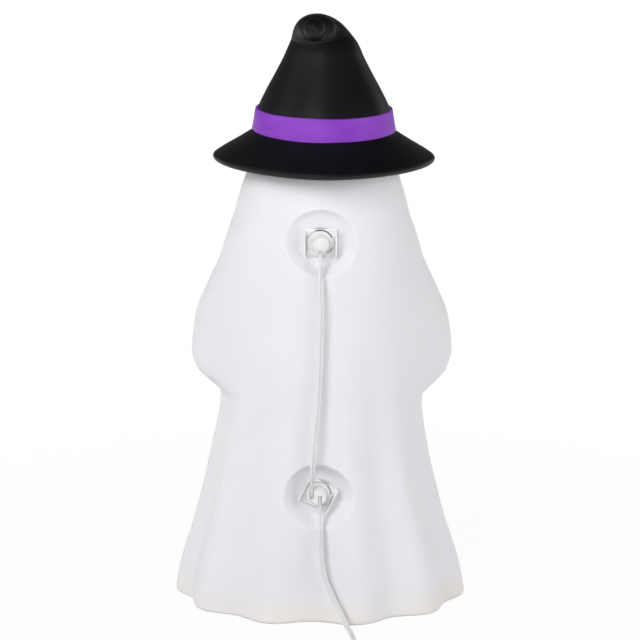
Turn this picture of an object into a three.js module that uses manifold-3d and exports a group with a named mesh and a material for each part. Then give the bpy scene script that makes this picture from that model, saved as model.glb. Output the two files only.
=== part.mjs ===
// A lighted blow-moulded ghost in a witch hat, 24 inches tall, with two lamps that snap in from behind.
// Units are millimetres. +Z is up, the face looks along -Y, and the lamps and the lead are on +Y.
// The origin is on the floor, in the middle of the gown's hem.

import * as THREE from 'three';
import { mergeVertices } from 'three/addons/utils/BufferGeometryUtils.js';
import Module from 'manifold-3d';

const wasm = await Module();
wasm.setup();

// Gaps and walls
const seatGap = 0.3;                // between pieces that touch
const gownWall = 2.4;               // blow-moulded polyethylene
const hatWallLevel = 2.45;          // measured level through the cone

// Gown: the draped sheet without its sleeves and folds, as shares of its height, width and depth
const headSeat = 494;               // height at which the hat's cone first touches the head
const hemHalfWidth = 150;
const hemHalfDepth = 110.5;
const gownStations = [
  { up: 0, wide: 0.975, deep: 1 },
  { up: 0.061, wide: 0.943, deep: 0.973 },
  { up: 0.174, wide: 0.837, deep: 0.923 },
  { up: 0.306, wide: 0.74, deep: 0.878 },
  { up: 0.415, wide: 0.683, deep: 0.846 },
  { up: 0.587, wide: 0.66, deep: 0.805 },
  { up: 0.729, wide: 0.643, deep: 0.756 },
  { up: 0.844, wide: 0.57, deep: 0.665 },
  { up: 0.911, wide: 0.503, deep: 0.584 },
];
const gownSquareness = 2.12;        // 2 is an ellipse
const shoulderHeight = 430;         // from here up the sections turn into the hat's ellipses
const headFoot = 480;               // where they have turned
const upperBodyX = -2;              // the upper body stands a little off the hem's middle
const waistLow = 140;               // between these heights it comes over
const waistHigh = 240;
const hemWidth = 8;                 // the rim that the ghost stands on
const hemRounding = 1.5;
const floorPanelHeight = 10;        // the closed bottom, up inside the hem
const foldCount = 11;
const foldDepthAtHem = 5.5;
const foldUnevenness = 0.2;
const foldTop = 335;                // the folds fade out at this height
const foldPhase = -0.6;             // radians, places the valley behind the lower lamp
const foldDrift = -0.7;             // radians, spreads the folds on the +X side

// Sleeves: the sheet hanging from the raised arms
const sleeveReach = 39;
const sleeveStations = [
  { up: 0.415, out: 0 },
  { up: 0.443, out: 0.04 },
  { up: 0.4615, out: 0.49 },
  { up: 0.482, out: 0.86 },
  { up: 0.514, out: 1 },
  { up: 0.591, out: 0.9 },
  { up: 0.658, out: 0.577 },
  { up: 0.733, out: 0.19 },
  { up: 0.82, out: 0 },
];
const rightSleeveDrop = 3;          // the sleeve on the -X side hangs lower
const sleeveMiddle = 108;           // degrees from straight behind, so a little forward of the side
const sleeveSpread = 36;            // degrees
const sleeveForward = 0.35;         // share of the reach that goes forward

// Hat: its cone from the brim to the foot of the bent tip, then the brim from its bead inwards
const hatCentreX = -4;
const hatDepthRatio = 0.86;
const hatLean = 0.013;              // rise per millimetre towards +X
const coneFoot = 490;
const coneHeight = 91;              // up to the crease behind the tip
const coneHalfWidth = 71.8;
const coneStations = [
  { up: 0, wide: 1 },
  { up: 0.077, wide: 0.974 },
  { up: 0.253, wide: 0.922 },
  { up: 0.429, wide: 0.819 },
  { up: 0.78, wide: 0.585 },
  { up: 1, wide: 0.464 },
];
const brimStations = [
  { wide: 0.927, up: 0.312 },
  { wide: 0.816, up: 0.601 },
  { wide: 0.709, up: 0.841 },
];
const brimThickness = 3;
const brimBeadRadius = 4;
const brimHalfWidth = 112.2;        // out to the bead's edge
const brimBeadHeight = 462.4;       // the bead's middle
const brimSquareness = 1.75;        // the brim's outline runs to a soft point at each side

// Hat tip: it bends over backwards about a crease behind the cone. Shares of the cone's size there
const tipStations = [
  { bend: 0, near: 0.012, far: 1.012, wide: 0.995, shift: 0.003 },
  { bend: 28, near: 0.016, far: 0.82, wide: 0.775, shift: 0.132 },
  { bend: 52, near: 0.026, far: 0.628, wide: 0.6, shift: 0.216 },
  { bend: 72, near: 0.052, far: 0.532, wide: 0.51, shift: 0.24 },
  { bend: 84, near: 0.087, far: 0.489, wide: 0.378, shift: 0.285 },
];
const nubRadius = 11.5;
const nubLength = 13;

// Hat band, as shares of the cone's height
const bandFoot = 0.011;
const bandHead = 0.247;
const bandThickness = 2.5;

// Head: the crown of the gown, which the hat sits on, as shares of the cone's height
const headSeatRise = 0.132;
const crownRise = 0.242;

// Face: two plain eyes and a mouth, as shallow bowls
const eyeSpacing = 56;
const eyeHeight = 402;
const eyeHalfWidth = 13;
const eyeHalfHeight = 20;
const eyeSink = 3;                  // the rims' middles lie this far inside the skin, which curves away
const mouthHeight = 352;
const mouthHalfWidth = 14;
const mouthHalfHeight = 18;
const mouthSink = 1.4;
const faceBowlDepth = 4.5;
const faceTilt = -9;                // degrees, the face leans back

// Dishes: round recesses in the back, each with a flat floor and a hole for a lamp
const dishRadius = 35.5;
const dishHalfWidth = 39.5;          // before the back curves away from it
const dishFloorRadius = 21;
const dishDepth = 11;
const lampHoleRadius = 13.5;
const upperLampX = -0.5;
const upperLampZ = 390;
const lowerLampX = 1.5;
const lowerLampZ = 132;
const lowerPlateTurn = -27;         // degrees, the lower plate sits askew

// Lamp holder, in its own frame: +z out of the ghost, z = 0 on the dish's floor, +y up
const lampSides = 16;
const plateWidth = 33;
const plateHeight = 27;
const plateThickness = 1.6;
const wingHeight = 6;
const wingThickness = 1.6;
const wingFlare = 0.5;
const plateHoleRadius = 13.2;
const barrelRadius = 8.75;
const boreRadius = 7.2;
const barrelMouth = -24;
const boreFloor = -3;
const flangeRadius = 11.8;
const flangeThickness = 1.4;
const earRadius = 14;
const earHalfAngle = 24;            // degrees
const fingerRadius = 12.9;
const fingerThickness = 1.2;
const fingerReach = -8;
const capRadius = 9;
const capHeight = 8.4;
const capFloor = 1.3;               // under the cord's slot

// Electrical pieces of a lamp
const contactRadius = 2.6;
const contactThickness = 1.2;
const shellThickness = 0.5;
const shellTop = -6.5;
const shellBottom = -23.5;
const capBaseRadius = 5.95;         // the bulb's brass base
const capBaseThickness = 0.5;
const capBaseTop = -8.3;
const capBaseBottom = -24.5;
const bulbRadius = 11;
const bulbNeckRadius = 5.1;
const bulbEnd = -59;
const bulbGlassWall = 0.9;
const leadWireRadius = 0.45;

// Cord: clear flat twin, lying and hanging on edge
const cordWidth = 5.4;
const cordThickness = 2.7;
const cordSlotGap = 0.35;
const jumperSlot = { offset: 0, side: -1, wall: -6.5 };
const lowerJumperSlot = { offset: -6.6, side: 1, wall: -2 };
const leadSlot = { offset: 1.5, side: -1, wall: 1 };

// Coil of the lead's unseen length, in two layers
const coilCentre = new THREE.Vector2(2, 243);
const coilOuterRadius = 37.3;       // of the outermost turn's middle
const coilTurnGap = 1.1;
const coilLayerGap = 0.6;
const coilSpiralTurns = 3.875;      // in each layer
const coilStepsPerTurn = 24;
const climbShare = 0.4;             // of the half turn where the spiral reverses
const tailLength = 20;
const tieStrap = 0.6;
const tieWidth = 4;
const tieClear = 0.4;
const tieTab = 4;

// Plug
const plugLength = 36;
const plugWidth = 24;
const plugThickness = 18.4;
const plugNeckSize = 9;
const bladeLength = 17.5;
const bladeThickness = 1.5;
const bladeSpacing = 12.7;
const narrowBladeWidth = 6.35;
const wideBladeWidth = 7.9;
const bladeHoleRadius = 1.6;

// Facets
const gownSides = 66;
const gownInsideSides = 44;
const dishSides = 28;
const faceBowlSides = 16;
const hatSides = 36;

const model = new THREE.Group();

const finishes = {
  gown: new THREE.MeshStandardMaterial({ color: 0xeceaef, roughness: 0.42, metalness: 0 }),
  hat: new THREE.MeshStandardMaterial({ color: 0x1c1b20, roughness: 0.36, metalness: 0 }),
  band: new THREE.MeshStandardMaterial({ color: 0x8e4ac2, roughness: 0.45, metalness: 0 }),
  holder: new THREE.MeshStandardMaterial({ color: 0xe8e8ea, roughness: 0.3, metalness: 0 }),
  plate: new THREE.MeshStandardMaterial({ color: 0xf2f2f5, roughness: 0.25, metalness: 0 }),
  cap: new THREE.MeshStandardMaterial({ color: 0xf4f3f7, roughness: 0.15, metalness: 0 }),
  brass: new THREE.MeshStandardMaterial({ color: 0xc9a24e, roughness: 0.35, metalness: 1 }),
  glass: new THREE.MeshStandardMaterial({ color: 0xf6f6f2, roughness: 0.08, metalness: 0 }),
  filament: new THREE.MeshStandardMaterial({ color: 0x9b9a96, roughness: 0.4, metalness: 0.6 }),
  cord: new THREE.MeshStandardMaterial({ color: 0xdcdcdf, roughness: 0.2, metalness: 0 }),
  tie: new THREE.MeshStandardMaterial({ color: 0xe9e9ea, roughness: 0.5, metalness: 0 }),
  plug: new THREE.MeshStandardMaterial({ color: 0xe6e6e8, roughness: 0.3, metalness: 0 }),
};

// Curves through stations

function smoothCurve(stations, along, value) {
  const at = stations.map((s) => s[along]);
  const v = stations.map((s) => s[value]);
  const last = at.length - 1;
  const rise = (i) => (v[i + 1] - v[i]) / (at[i + 1] - at[i]);
  const slope = at.map((_, i) => {
    if (i === 0) return rise(0);
    if (i === last) return rise(last - 1);
    const before = rise(i - 1);
    const after = rise(i);
    return before * after <= 0 ? 0 : (2 * before * after) / (before + after);
  });
  return (x) => {
    const clamped = Math.min(Math.max(x, at[0]), at[last]);
    let i = 0;
    while (i < last - 1 && clamped > at[i + 1]) i += 1;
    const span = at[i + 1] - at[i];
    const s = (clamped - at[i]) / span;
    const bulge = s * (1 - s) * span;
    const blend = s * s * (3 - 2 * s);
    return v[i] + (v[i + 1] - v[i]) * blend + bulge * ((1 - s) * slope[i] - s * slope[i + 1]);
  };
}

function easeBetween(low, high, x) {
  return THREE.MathUtils.smoothstep(x, low, high);
}

// Meshes and solids

function signedVolume(geometry) {
  const p = geometry.getAttribute('position');
  const index = geometry.getIndex();
  const a = new THREE.Vector3();
  const b = new THREE.Vector3();
  const c = new THREE.Vector3();
  let sum = 0;
  for (let i = 0; i < index.count; i += 3) {
    a.fromBufferAttribute(p, index.getX(i));
    b.fromBufferAttribute(p, index.getX(i + 1));
    c.fromBufferAttribute(p, index.getX(i + 2));
    sum += a.dot(b.cross(c)) / 6;
  }
  return sum;
}

function closedBody(geometry) {
  const bare = geometry.index ? geometry.toNonIndexed() : geometry.clone();
  bare.deleteAttribute('normal');
  bare.deleteAttribute('uv');
  const merged = mergeVertices(bare, 1e-4);
  const kept = [];
  const old = merged.getIndex();
  for (let i = 0; i < old.count; i += 3) {
    const [a, b, c] = [old.getX(i), old.getX(i + 1), old.getX(i + 2)];
    if (a !== b && b !== c && c !== a) kept.push(a, b, c);
  }
  merged.setIndex(kept);
  if (signedVolume(merged) < 0) {
    for (let i = 0; i < kept.length; i += 3) {
      [kept[i], kept[i + 1]] = [kept[i + 1], kept[i]];
    }
    merged.setIndex(kept);
  }
  return merged;
}

function solidOf(geometry) {
  const body = closedBody(geometry);
  const vertProperties = Float32Array.from(body.getAttribute('position').array);
  const triVerts = Uint32Array.from(body.getIndex().array);
  return new wasm.Manifold(new wasm.Mesh({ numProp: 3, vertProperties, triVerts }));
}

function geometryOf(solid) {
  const mesh = solid.getMesh();
  const geometry = new THREE.BufferGeometry();
  geometry.setAttribute('position', new THREE.BufferAttribute(mesh.vertProperties, 3));
  geometry.setIndex(new THREE.BufferAttribute(mesh.triVerts, 1));
  return geometry;
}

function addPiece(group, name, geometry, material) {
  const body = closedBody(geometry);
  const shown = body.toNonIndexed();
  shown.computeVertexNormals();
  const mesh = new THREE.Mesh(shown, material);
  mesh.name = name;
  group.add(mesh);
  return mesh;
}

function ringOf(sides, pointAt) {
  return Array.from({ length: sides }, (_, i) => pointAt((i / sides) * 2 * Math.PI));
}

// Rings of equal count, joined in order; start and end close with a fan unless the loft closes on itself
function loft(rings, { start = null, end = null, closed = false } = {}) {
  const sides = rings[0].length;
  const points = rings.flat();
  const faces = [];
  const joins = closed ? rings.length : rings.length - 1;
  for (let r = 0; r < joins; r += 1) {
    const here = r * sides;
    const next = ((r + 1) % rings.length) * sides;
    for (let i = 0; i < sides; i += 1) {
      const j = (i + 1) % sides;
      faces.push(here + i, here + j, next + j, here + i, next + j, next + i);
    }
  }
  if (!closed) {
    const last = (rings.length - 1) * sides;
    points.push(start, end);
    for (let i = 0; i < sides; i += 1) {
      const j = (i + 1) % sides;
      faces.push(points.length - 2, j, i);
      faces.push(points.length - 1, last + i, last + j);
    }
  }
  const geometry = new THREE.BufferGeometry().setFromPoints(points);
  geometry.setIndex(faces);
  return geometry;
}

function turned(profile, sides) {
  return new THREE.LatheGeometry(profile.map(([r, z]) => new THREE.Vector2(r, z)), sides).rotateX(Math.PI / 2);
}

// Hat surfaces

const coneShare = smoothCurve(coneStations, 'up', 'wide');
const conePlace = (share) => coneFoot + coneHeight * share;
const hatHalfWidth = (z) => coneHalfWidth * coneShare((z - coneFoot) / coneHeight);

function powerOf(value, power) {
  return Math.sign(value) * Math.abs(value) ** power;
}

function hatPoint(halfWidth, z, turn, squareness = 2) {
  const x = halfWidth * powerOf(Math.sin(turn), 2 / squareness);
  const y = hatDepthRatio * halfWidth * powerOf(Math.cos(turn), 2 / squareness);
  return new THREE.Vector3(hatCentreX + x, y, z + hatLean * x);
}

function hatRing(halfWidth, z, squareness = 2) {
  return ringOf(hatSides, (turn) => hatPoint(halfWidth, z, turn, squareness));
}

function beadRings() {
  const middle = brimHalfWidth - brimBeadRadius;
  return [-140, -90, -40, 5, 45].map((degrees) => {
    const angle = THREE.MathUtils.degToRad(degrees);
    const height = brimBeadHeight + brimBeadRadius * Math.sin(angle);
    return hatRing(middle + brimBeadRadius * Math.cos(angle), height, brimSquareness);
  });
}

const creaseHeight = conePlace(1);
const creaseHalfWidth = hatHalfWidth(creaseHeight);
const creaseDepth = 2 * hatDepthRatio * creaseHalfWidth;
const tipEnd = tipStations[tipStations.length - 1];
const creaseY = creaseDepth * (0.5 + tipStations[0].near);

function tipRing(bend) {
  const value = (key) => smoothCurve(tipStations, 'bend', key)(bend);
  const angle = THREE.MathUtils.degToRad(bend);
  return ringOf(hatSides, (turn) => {
    const out = creaseDepth * (value('near') + ((value('far') - value('near')) / 2) * (1 - Math.cos(turn)));
    const x = creaseHalfWidth * (value('shift') + value('wide') * Math.sin(turn));
    const z = creaseHeight + out * Math.sin(angle) + hatLean * x;
    return new THREE.Vector3(hatCentreX + x, creaseY - out * Math.cos(angle), z);
  });
}

function nubRings() {
  const angle = THREE.MathUtils.degToRad(tipEnd.bend);
  const middle = (creaseDepth * (tipEnd.near + tipEnd.far)) / 2;
  const x = hatCentreX + creaseHalfWidth * tipEnd.shift;
  const centre = new THREE.Vector3(x, creaseY - middle * Math.cos(angle), creaseHeight + middle * Math.sin(angle));
  const outward = new THREE.Vector3(0, Math.sin(angle), Math.cos(angle));
  const upward = new THREE.Vector3(0, -Math.cos(angle), Math.sin(angle));
  const ringAt = (radius, distance) => ringOf(hatSides, (turn) => centre.clone()
    .addScaledVector(outward, distance)
    .add(new THREE.Vector3(radius * Math.sin(turn), 0, 0))
    .addScaledVector(upward, -radius * Math.cos(turn)));
  const domeDepth = nubRadius * 0.55;
  const rings = [ringAt(nubRadius, nubLength - domeDepth)];
  for (const degrees of [30, 55, 75]) {
    const step = THREE.MathUtils.degToRad(degrees);
    rings.push(ringAt(nubRadius * Math.cos(step), nubLength - domeDepth * (1 - Math.sin(step))));
  }
  return { rings, end: centre.clone().addScaledVector(outward, nubLength) };
}

function hatInsideHalfWidth(z) {
  return hatHalfWidth(z) - hatWallLevel;
}

function brimRing(station, drop) {
  const height = brimBeadHeight + (coneFoot - brimBeadHeight) * station.up;
  const squareness = brimSquareness + (2 - brimSquareness) * station.up;
  return hatRing(brimHalfWidth * station.wide - drop / 4, height - drop, squareness);
}

function hatShell() {
  const hollowEnd = conePlace(0.89);
  const inside = [hatRing(hatInsideHalfWidth(conePlace(0.84)) * 0.55, hollowEnd)];
  for (const share of [0.77, 0.52, 0.25]) inside.push(hatRing(hatInsideHalfWidth(conePlace(share)), conePlace(share)));
  for (const z of [seatTop, (seatTop + headSeat) / 2, headSeat]) inside.push(hatRing(hatInsideHalfWidth(z), z));
  for (const station of [...brimStations].reverse()) inside.push(brimRing(station, brimThickness + 1));
  const top = brimStations.map((station) => brimRing(station, 0));
  for (const share of [0, 0.09, 0.25, 0.43, 0.62, 0.81]) top.push(hatRing(hatHalfWidth(conePlace(share)), conePlace(share)));
  const tip = [0, 14, 28, 41, 54, 66, 77, tipEnd.bend].map(tipRing);
  const nub = nubRings();
  const rings = [...inside, ...beadRings(), ...top, ...tip, ...nub.rings];
  return loft(rings, { start: hatPoint(0, hollowEnd + 2, 0), end: nub.end });
}

function hatBand() {
  const bandBottom = conePlace(bandFoot);
  const bandTop = conePlace(bandHead);
  const middle = (bandBottom + bandTop) / 2;
  const inner = (z) => hatHalfWidth(z) + seatGap;
  const outer = (z) => hatHalfWidth(z) + seatGap + bandThickness;
  const rounding = 0.8;
  return loft([
    hatRing(inner(bandTop), bandTop),
    hatRing(inner(middle), middle),
    hatRing(inner(bandBottom), bandBottom),
    hatRing(outer(bandBottom) - rounding, bandBottom),
    hatRing(outer(bandBottom + rounding), bandBottom + rounding),
    hatRing(outer(middle), middle),
    hatRing(outer(bandTop - rounding), bandTop - rounding),
    hatRing(outer(bandTop) - rounding, bandTop),
  ], { closed: true });
}

// Gown surfaces

function headHalfWidth(z) {
  return hatInsideHalfWidth(z) - 1.5 * seatGap;
}

const seatTop = headSeat + coneHeight * headSeatRise;
const crownTop = seatTop + coneHeight * crownRise;
const headStations = [headFoot, headSeat].map((z) => {
  const wide = headHalfWidth(headSeat) / hemHalfWidth;
  return { up: z / headSeat, wide, deep: (wide * hatDepthRatio * hemHalfWidth) / hemHalfDepth };
});
const bodyWidthShare = smoothCurve([...gownStations, ...headStations], 'up', 'wide');
const bodyDepthShare = smoothCurve([...gownStations, ...headStations], 'up', 'deep');
const sleeveShare = smoothCurve(sleeveStations, 'up', 'out');

function gownHalfWidth(z) {
  return z > headSeat ? headHalfWidth(z) : hemHalfWidth * bodyWidthShare(z / headSeat);
}

function gownHalfDepth(z) {
  return z > headSeat ? hatDepthRatio * headHalfWidth(z) : hemHalfDepth * bodyDepthShare(z / headSeat);
}

function foldHeight(z, turn) {
  if (z >= foldTop) return 0;
  const fade = (1 - z / foldTop) ** 1.3;
  const uneven = 1 + foldUnevenness * Math.sin(3 * turn + 2);
  return -foldDepthAtHem * fade * uneven * Math.cos(foldCount * turn + foldPhase + foldDrift * Math.sin(turn));
}

function sleeveAt(z, turn) {
  const degreesFromBack = Math.abs(THREE.MathUtils.radToDeg(Math.atan2(Math.sin(turn), Math.cos(turn))));
  const height = Math.sin(turn) < 0 ? z + rightSleeveDrop : z;
  return sleeveReach * sleeveShare(height / headSeat) * Math.exp(-(((degreesFromBack - sleeveMiddle) / sleeveSpread) ** 2));
}

function drapedPoint(z, turn, inset) {
  const sine = Math.sin(turn);
  const cosine = Math.cos(turn);
  const squareness = gownSquareness + (2 - gownSquareness) * easeBetween(shoulderHeight, headFoot, z);
  const power = 2 / squareness;
  const acrossShare = powerOf(sine, power);
  const depthShare = powerOf(cosine, power);
  const sleeve = sleeveAt(z, turn);
  const fold = foldHeight(z, turn);
  const hatShare = easeBetween(shoulderHeight, headFoot, z);
  const middleX = upperBodyX * easeBetween(waistLow, waistHigh, z) + (hatCentreX - upperBodyX) * hatShare;
  const x = (gownHalfWidth(z) + sleeve - inset) * acrossShare + fold * sine;
  const y = (gownHalfDepth(z) - inset) * depthShare - sleeve * sleeveForward + fold * cosine;
  return new THREE.Vector3(x + middleX, y, z + hatLean * x * hatShare);
}

// The folds leave the hem a little off centre, so the skirt is moved back over the origin
const hemBox = new THREE.Box3().setFromPoints(ringOf(gownSides, (turn) => drapedPoint(hemRounding, turn, 0)));
const hemMiddle = hemBox.getCenter(new THREE.Vector3()).setZ(0);

function gownPoint(z, turn, inset) {
  return drapedPoint(z, turn, inset).addScaledVector(hemMiddle, easeBetween(0, waistHigh, z) - 1);
}

// Where the skin lies at a sideways place, behind (side 1) or in front (side -1)
function skinY(x, z, side) {
  let turn = side > 0 ? 0 : Math.PI;
  for (let i = 0; i < 8; i += 1) turn += (side * (x - gownPoint(z, turn, 0).x)) / gownHalfWidth(z);
  return gownPoint(z, turn, 0).y;
}

function gownRing(z, inset, sides) {
  return ringOf(sides, (turn) => gownPoint(z, turn, inset));
}

// The inner skin lies one wall inside the outer one, measured square to it
function innerRing(z) {
  const step = 0.01;
  return ringOf(gownInsideSides, (turn) => {
    const around = gownPoint(z, turn + step, 0).sub(gownPoint(z, turn - step, 0));
    const upward = gownPoint(z + 1, turn, 0).sub(gownPoint(z - 1, turn, 0));
    return gownPoint(z, turn, 0).addScaledVector(around.cross(upward).normalize(), gownWall);
  });
}

function crownRings(inset, sides) {
  const rise = crownTop - inset - seatTop;
  return [20, 40, 60, 78].map((degrees) => {
    const angle = THREE.MathUtils.degToRad(degrees);
    const halfWidth = (headHalfWidth(seatTop) - inset) * Math.cos(angle);
    return ringOf(sides, (turn) => hatPoint(halfWidth, seatTop + rise * Math.sin(angle), turn));
  });
}

// Shares of the head's height where the skirt and the sleeves have their sections
const bodyHeights = [0.053, 0.121, 0.21, 0.304, 0.385, 0.421, 0.439, 0.4575, 0.478, 0.506];

function gownOutside() {
  const rings = [
    gownRing(floorPanelHeight, hemWidth + 4, gownSides),
    gownRing(0, hemWidth, gownSides),
    gownRing(0, hemRounding, gownSides),
    gownRing(hemRounding, 0, gownSides),
  ];
  const heights = [...bodyHeights, 0.547, 0.6, 0.658, 0.725, 0.794, 0.86, 0.915, 0.955, 1];
  for (const share of heights) rings.push(gownRing(headSeat * share, 0, gownSides));
  rings.push(gownRing(seatTop, 0, gownSides));
  rings.push(...crownRings(0, gownSides));
  return loft(rings, { start: new THREE.Vector3(0, 0, floorPanelHeight), end: hatPoint(0, crownTop, 0) });
}

function gownInside() {
  const bottom = floorPanelHeight + 1.5 * gownWall;
  const heights = [...bodyHeights.slice(1), 0.6, 0.688, 0.78, 0.86, 0.935];
  const rings = [innerRing(bottom), ...heights.map((share) => innerRing(headSeat * share))];
  rings.push(gownRing(seatTop, gownWall, gownInsideSides));
  rings.push(...crownRings(gownWall, gownInsideSides).slice(1));
  return loft(rings, { start: new THREE.Vector3(0, 0, bottom), end: hatPoint(0, crownTop - gownWall, 0) });
}

// Recesses pressed into the skin: the dishes behind, the eyes and the mouth in front
function recessCutter(recess, wall) {
  const { rimX, rimZ, floorShare, depth } = recess;
  const down = depth + wall;
  const profile = [
    [0, -down],
    [floorShare, -down],
    [floorShare + (1 - floorShare) * 0.65, -down + depth * 0.25],
    [1, -down + depth],
    [1.02, -down + depth + 14],
    [0, -down + depth + 14],
  ];
  const points = profile.map(([share, y]) => new THREE.Vector2(share, y * recess.outward));
  const cutter = new THREE.LatheGeometry(points, recess.sides);
  cutter.scale(rimX + wall, 1, rimZ + wall);
  cutter.rotateX(THREE.MathUtils.degToRad(recess.tilt));
  return solidOf(cutter.translate(recess.x, recess.surfaceY, recess.z));
}

function holeCutter(place) {
  const hole = new THREE.CylinderGeometry(lampHoleRadius, lampHoleRadius, 4 * dishDepth, dishSides);
  return solidOf(hole.translate(place.x, place.backY - dishDepth, place.z));
}

const lampPlaces = {
  upper: { x: upperLampX, z: upperLampZ, backY: skinY(upperLampX, upperLampZ, 1) },
  lower: { x: lowerLampX, z: lowerLampZ, backY: skinY(lowerLampX, lowerLampZ, 1) },
};

function gownRecesses() {
  const dishShape = { rimX: dishHalfWidth, rimZ: dishRadius, floorShare: dishFloorRadius / dishRadius, depth: dishDepth };
  const dish = { ...dishShape, outward: 1, tilt: 0, sides: dishSides };
  const bowl = { floorShare: 0.3, depth: faceBowlDepth, outward: -1, tilt: faceTilt, sides: faceBowlSides };
  const faceY = (x, z, sink) => skinY(x, z, -1) + sink;
  const leftEyeX = upperBodyX + eyeSpacing / 2;
  const rightEyeX = upperBodyX - eyeSpacing / 2;
  const eye = { ...bowl, z: eyeHeight, rimX: eyeHalfWidth, rimZ: eyeHalfHeight };
  const mouth = { ...bowl, x: upperBodyX, z: mouthHeight, rimX: mouthHalfWidth, rimZ: mouthHalfHeight };
  return [
    ...Object.values(lampPlaces).map((place) => ({ ...dish, x: place.x, z: place.z, surfaceY: place.backY })),
    { ...eye, x: leftEyeX, surfaceY: faceY(leftEyeX, eyeHeight, eyeSink) },
    { ...eye, x: rightEyeX, surfaceY: faceY(rightEyeX, eyeHeight, eyeSink) },
    { ...mouth, surfaceY: faceY(upperBodyX, mouthHeight, mouthSink) },
  ];
}

function gownShell() {
  let outside = solidOf(gownOutside());
  let inside = solidOf(gownInside());
  for (const recess of gownRecesses()) {
    outside = outside.subtract(recessCutter(recess, 0));
    inside = inside.subtract(recessCutter(recess, gownWall));
  }
  let shell = outside.subtract(inside);
  for (const place of Object.values(lampPlaces)) shell = shell.subtract(holeCutter(place));
  return geometryOf(shell);
}

// Lamp pieces

const plateTop = seatGap + plateThickness;
const earBottom = plateTop + seatGap;
const flangeTop = earBottom + flangeThickness;
const capBottom = flangeTop + seatGap;
const slotFloor = capBottom + capFloor;
const cordHeight = slotFloor + cordSlotGap + cordWidth / 2;

function sectorBlock(innerRadius, outerRadius, halfAngle, low, high, middle) {
  const steps = 4;
  const shape = new THREE.Shape();
  const angle = THREE.MathUtils.degToRad(halfAngle);
  for (let i = 0; i <= steps; i += 1) {
    const at = middle - angle + (2 * angle * i) / steps;
    const [x, y] = [outerRadius * Math.cos(at), outerRadius * Math.sin(at)];
    if (i === 0) shape.moveTo(x, y);
    else shape.lineTo(x, y);
  }
  for (let i = steps; i >= 0; i -= 1) {
    const at = middle - angle + (2 * angle * i) / steps;
    shape.lineTo(innerRadius * Math.cos(at), innerRadius * Math.sin(at));
  }
  return new THREE.ExtrudeGeometry(shape, { depth: high - low, bevelEnabled: false }).translate(0, 0, low);
}

function holderBarrel() {
  let barrel = solidOf(turned([
    [0, boreFloor],
    [boreRadius, boreFloor],
    [boreRadius, barrelMouth],
    [barrelRadius, barrelMouth],
    [barrelRadius, earBottom],
    [flangeRadius, earBottom],
    [flangeRadius, flangeTop],
    [0, flangeTop],
  ], lampSides));
  for (const middle of [0, Math.PI]) {
    barrel = barrel.add(solidOf(sectorBlock(flangeRadius - 1.5, earRadius, earHalfAngle, earBottom, flangeTop, middle)));
    const finger = sectorBlock(fingerRadius - fingerThickness, fingerRadius, earHalfAngle - 4, fingerReach, earBottom + 0.5, middle);
    barrel = barrel.add(solidOf(finger));
  }
  return geometryOf(barrel);
}

function retainingPlate() {
  const half = plateWidth / 2;
  const flare = wingFlare;
  const outline = new THREE.Shape();
  outline.moveTo(-half + flare, seatGap);
  outline.lineTo(half - flare, seatGap);
  outline.lineTo(half, seatGap + wingHeight);
  outline.lineTo(half - wingThickness, seatGap + wingHeight);
  outline.lineTo(half - flare - wingThickness, plateTop);
  outline.lineTo(-half + flare + wingThickness, plateTop);
  outline.lineTo(-half + wingThickness, seatGap + wingHeight);
  outline.lineTo(-half, seatGap + wingHeight);
  outline.closePath();
  const channel = new THREE.ExtrudeGeometry(outline, { depth: plateHeight, bevelEnabled: false });
  channel.translate(0, 0, -plateHeight / 2).rotateX(Math.PI / 2);
  const hole = new THREE.CylinderGeometry(plateHoleRadius, plateHoleRadius, 20, 24).rotateX(Math.PI / 2);
  return geometryOf(solidOf(channel).subtract(solidOf(hole)));
}

function endCap(slots) {
  const top = capBottom + capHeight;
  let cap = solidOf(turned([
    [0, capBottom],
    [capRadius, capBottom],
    [capRadius, top - 2.2],
    [capRadius - 0.7, top - 0.8],
    [capRadius - 2.4, top],
    [0, top],
  ], 24));
  for (const slot of slots) {
    const reach = capRadius + 2;
    const length = reach - slot.wall * slot.side;
    const box = new THREE.BoxGeometry(cordThickness + 2 * cordSlotGap, length, capHeight);
    box.translate(slot.offset, slot.side * (reach - length / 2), slotFloor + capHeight / 2);
    cap = cap.subtract(solidOf(box));
  }
  return geometryOf(cap);
}

function centreContact() {
  const top = boreFloor - seatGap;
  return turned([
    [0, top],
    [contactRadius, top],
    [contactRadius, top - contactThickness * 0.5],
    [contactRadius * 0.5, top - contactThickness],
    [0, top - contactThickness],
  ], 12);
}

function screwShell() {
  const outer = boreRadius - seatGap;
  return turned([
    [outer, shellBottom],
    [outer, shellTop],
    [outer - shellThickness, shellTop],
    [outer - shellThickness, shellBottom],
    [outer, shellBottom],
  ], lampSides);
}

function bulbContact() {
  const top = boreFloor - 2 * seatGap - contactThickness;
  return turned([
    [0, top],
    [1.9, top - 0.6],
    [1.9, top - 1.8],
    [4.2, capBaseTop + 0.6],
    [4.2, capBaseTop - 0.4],
    [0, capBaseTop - 0.4],
  ], lampSides);
}

function bulbBase() {
  const inner = capBaseRadius - capBaseThickness;
  return turned([
    [4.5, capBaseTop],
    [capBaseRadius, capBaseTop - 1],
    [capBaseRadius, capBaseBottom],
    [inner, capBaseBottom],
    [inner, capBaseTop - 1.5],
    [4.5, capBaseTop - capBaseThickness],
    [4.5, capBaseTop],
  ], lampSides);
}

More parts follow.
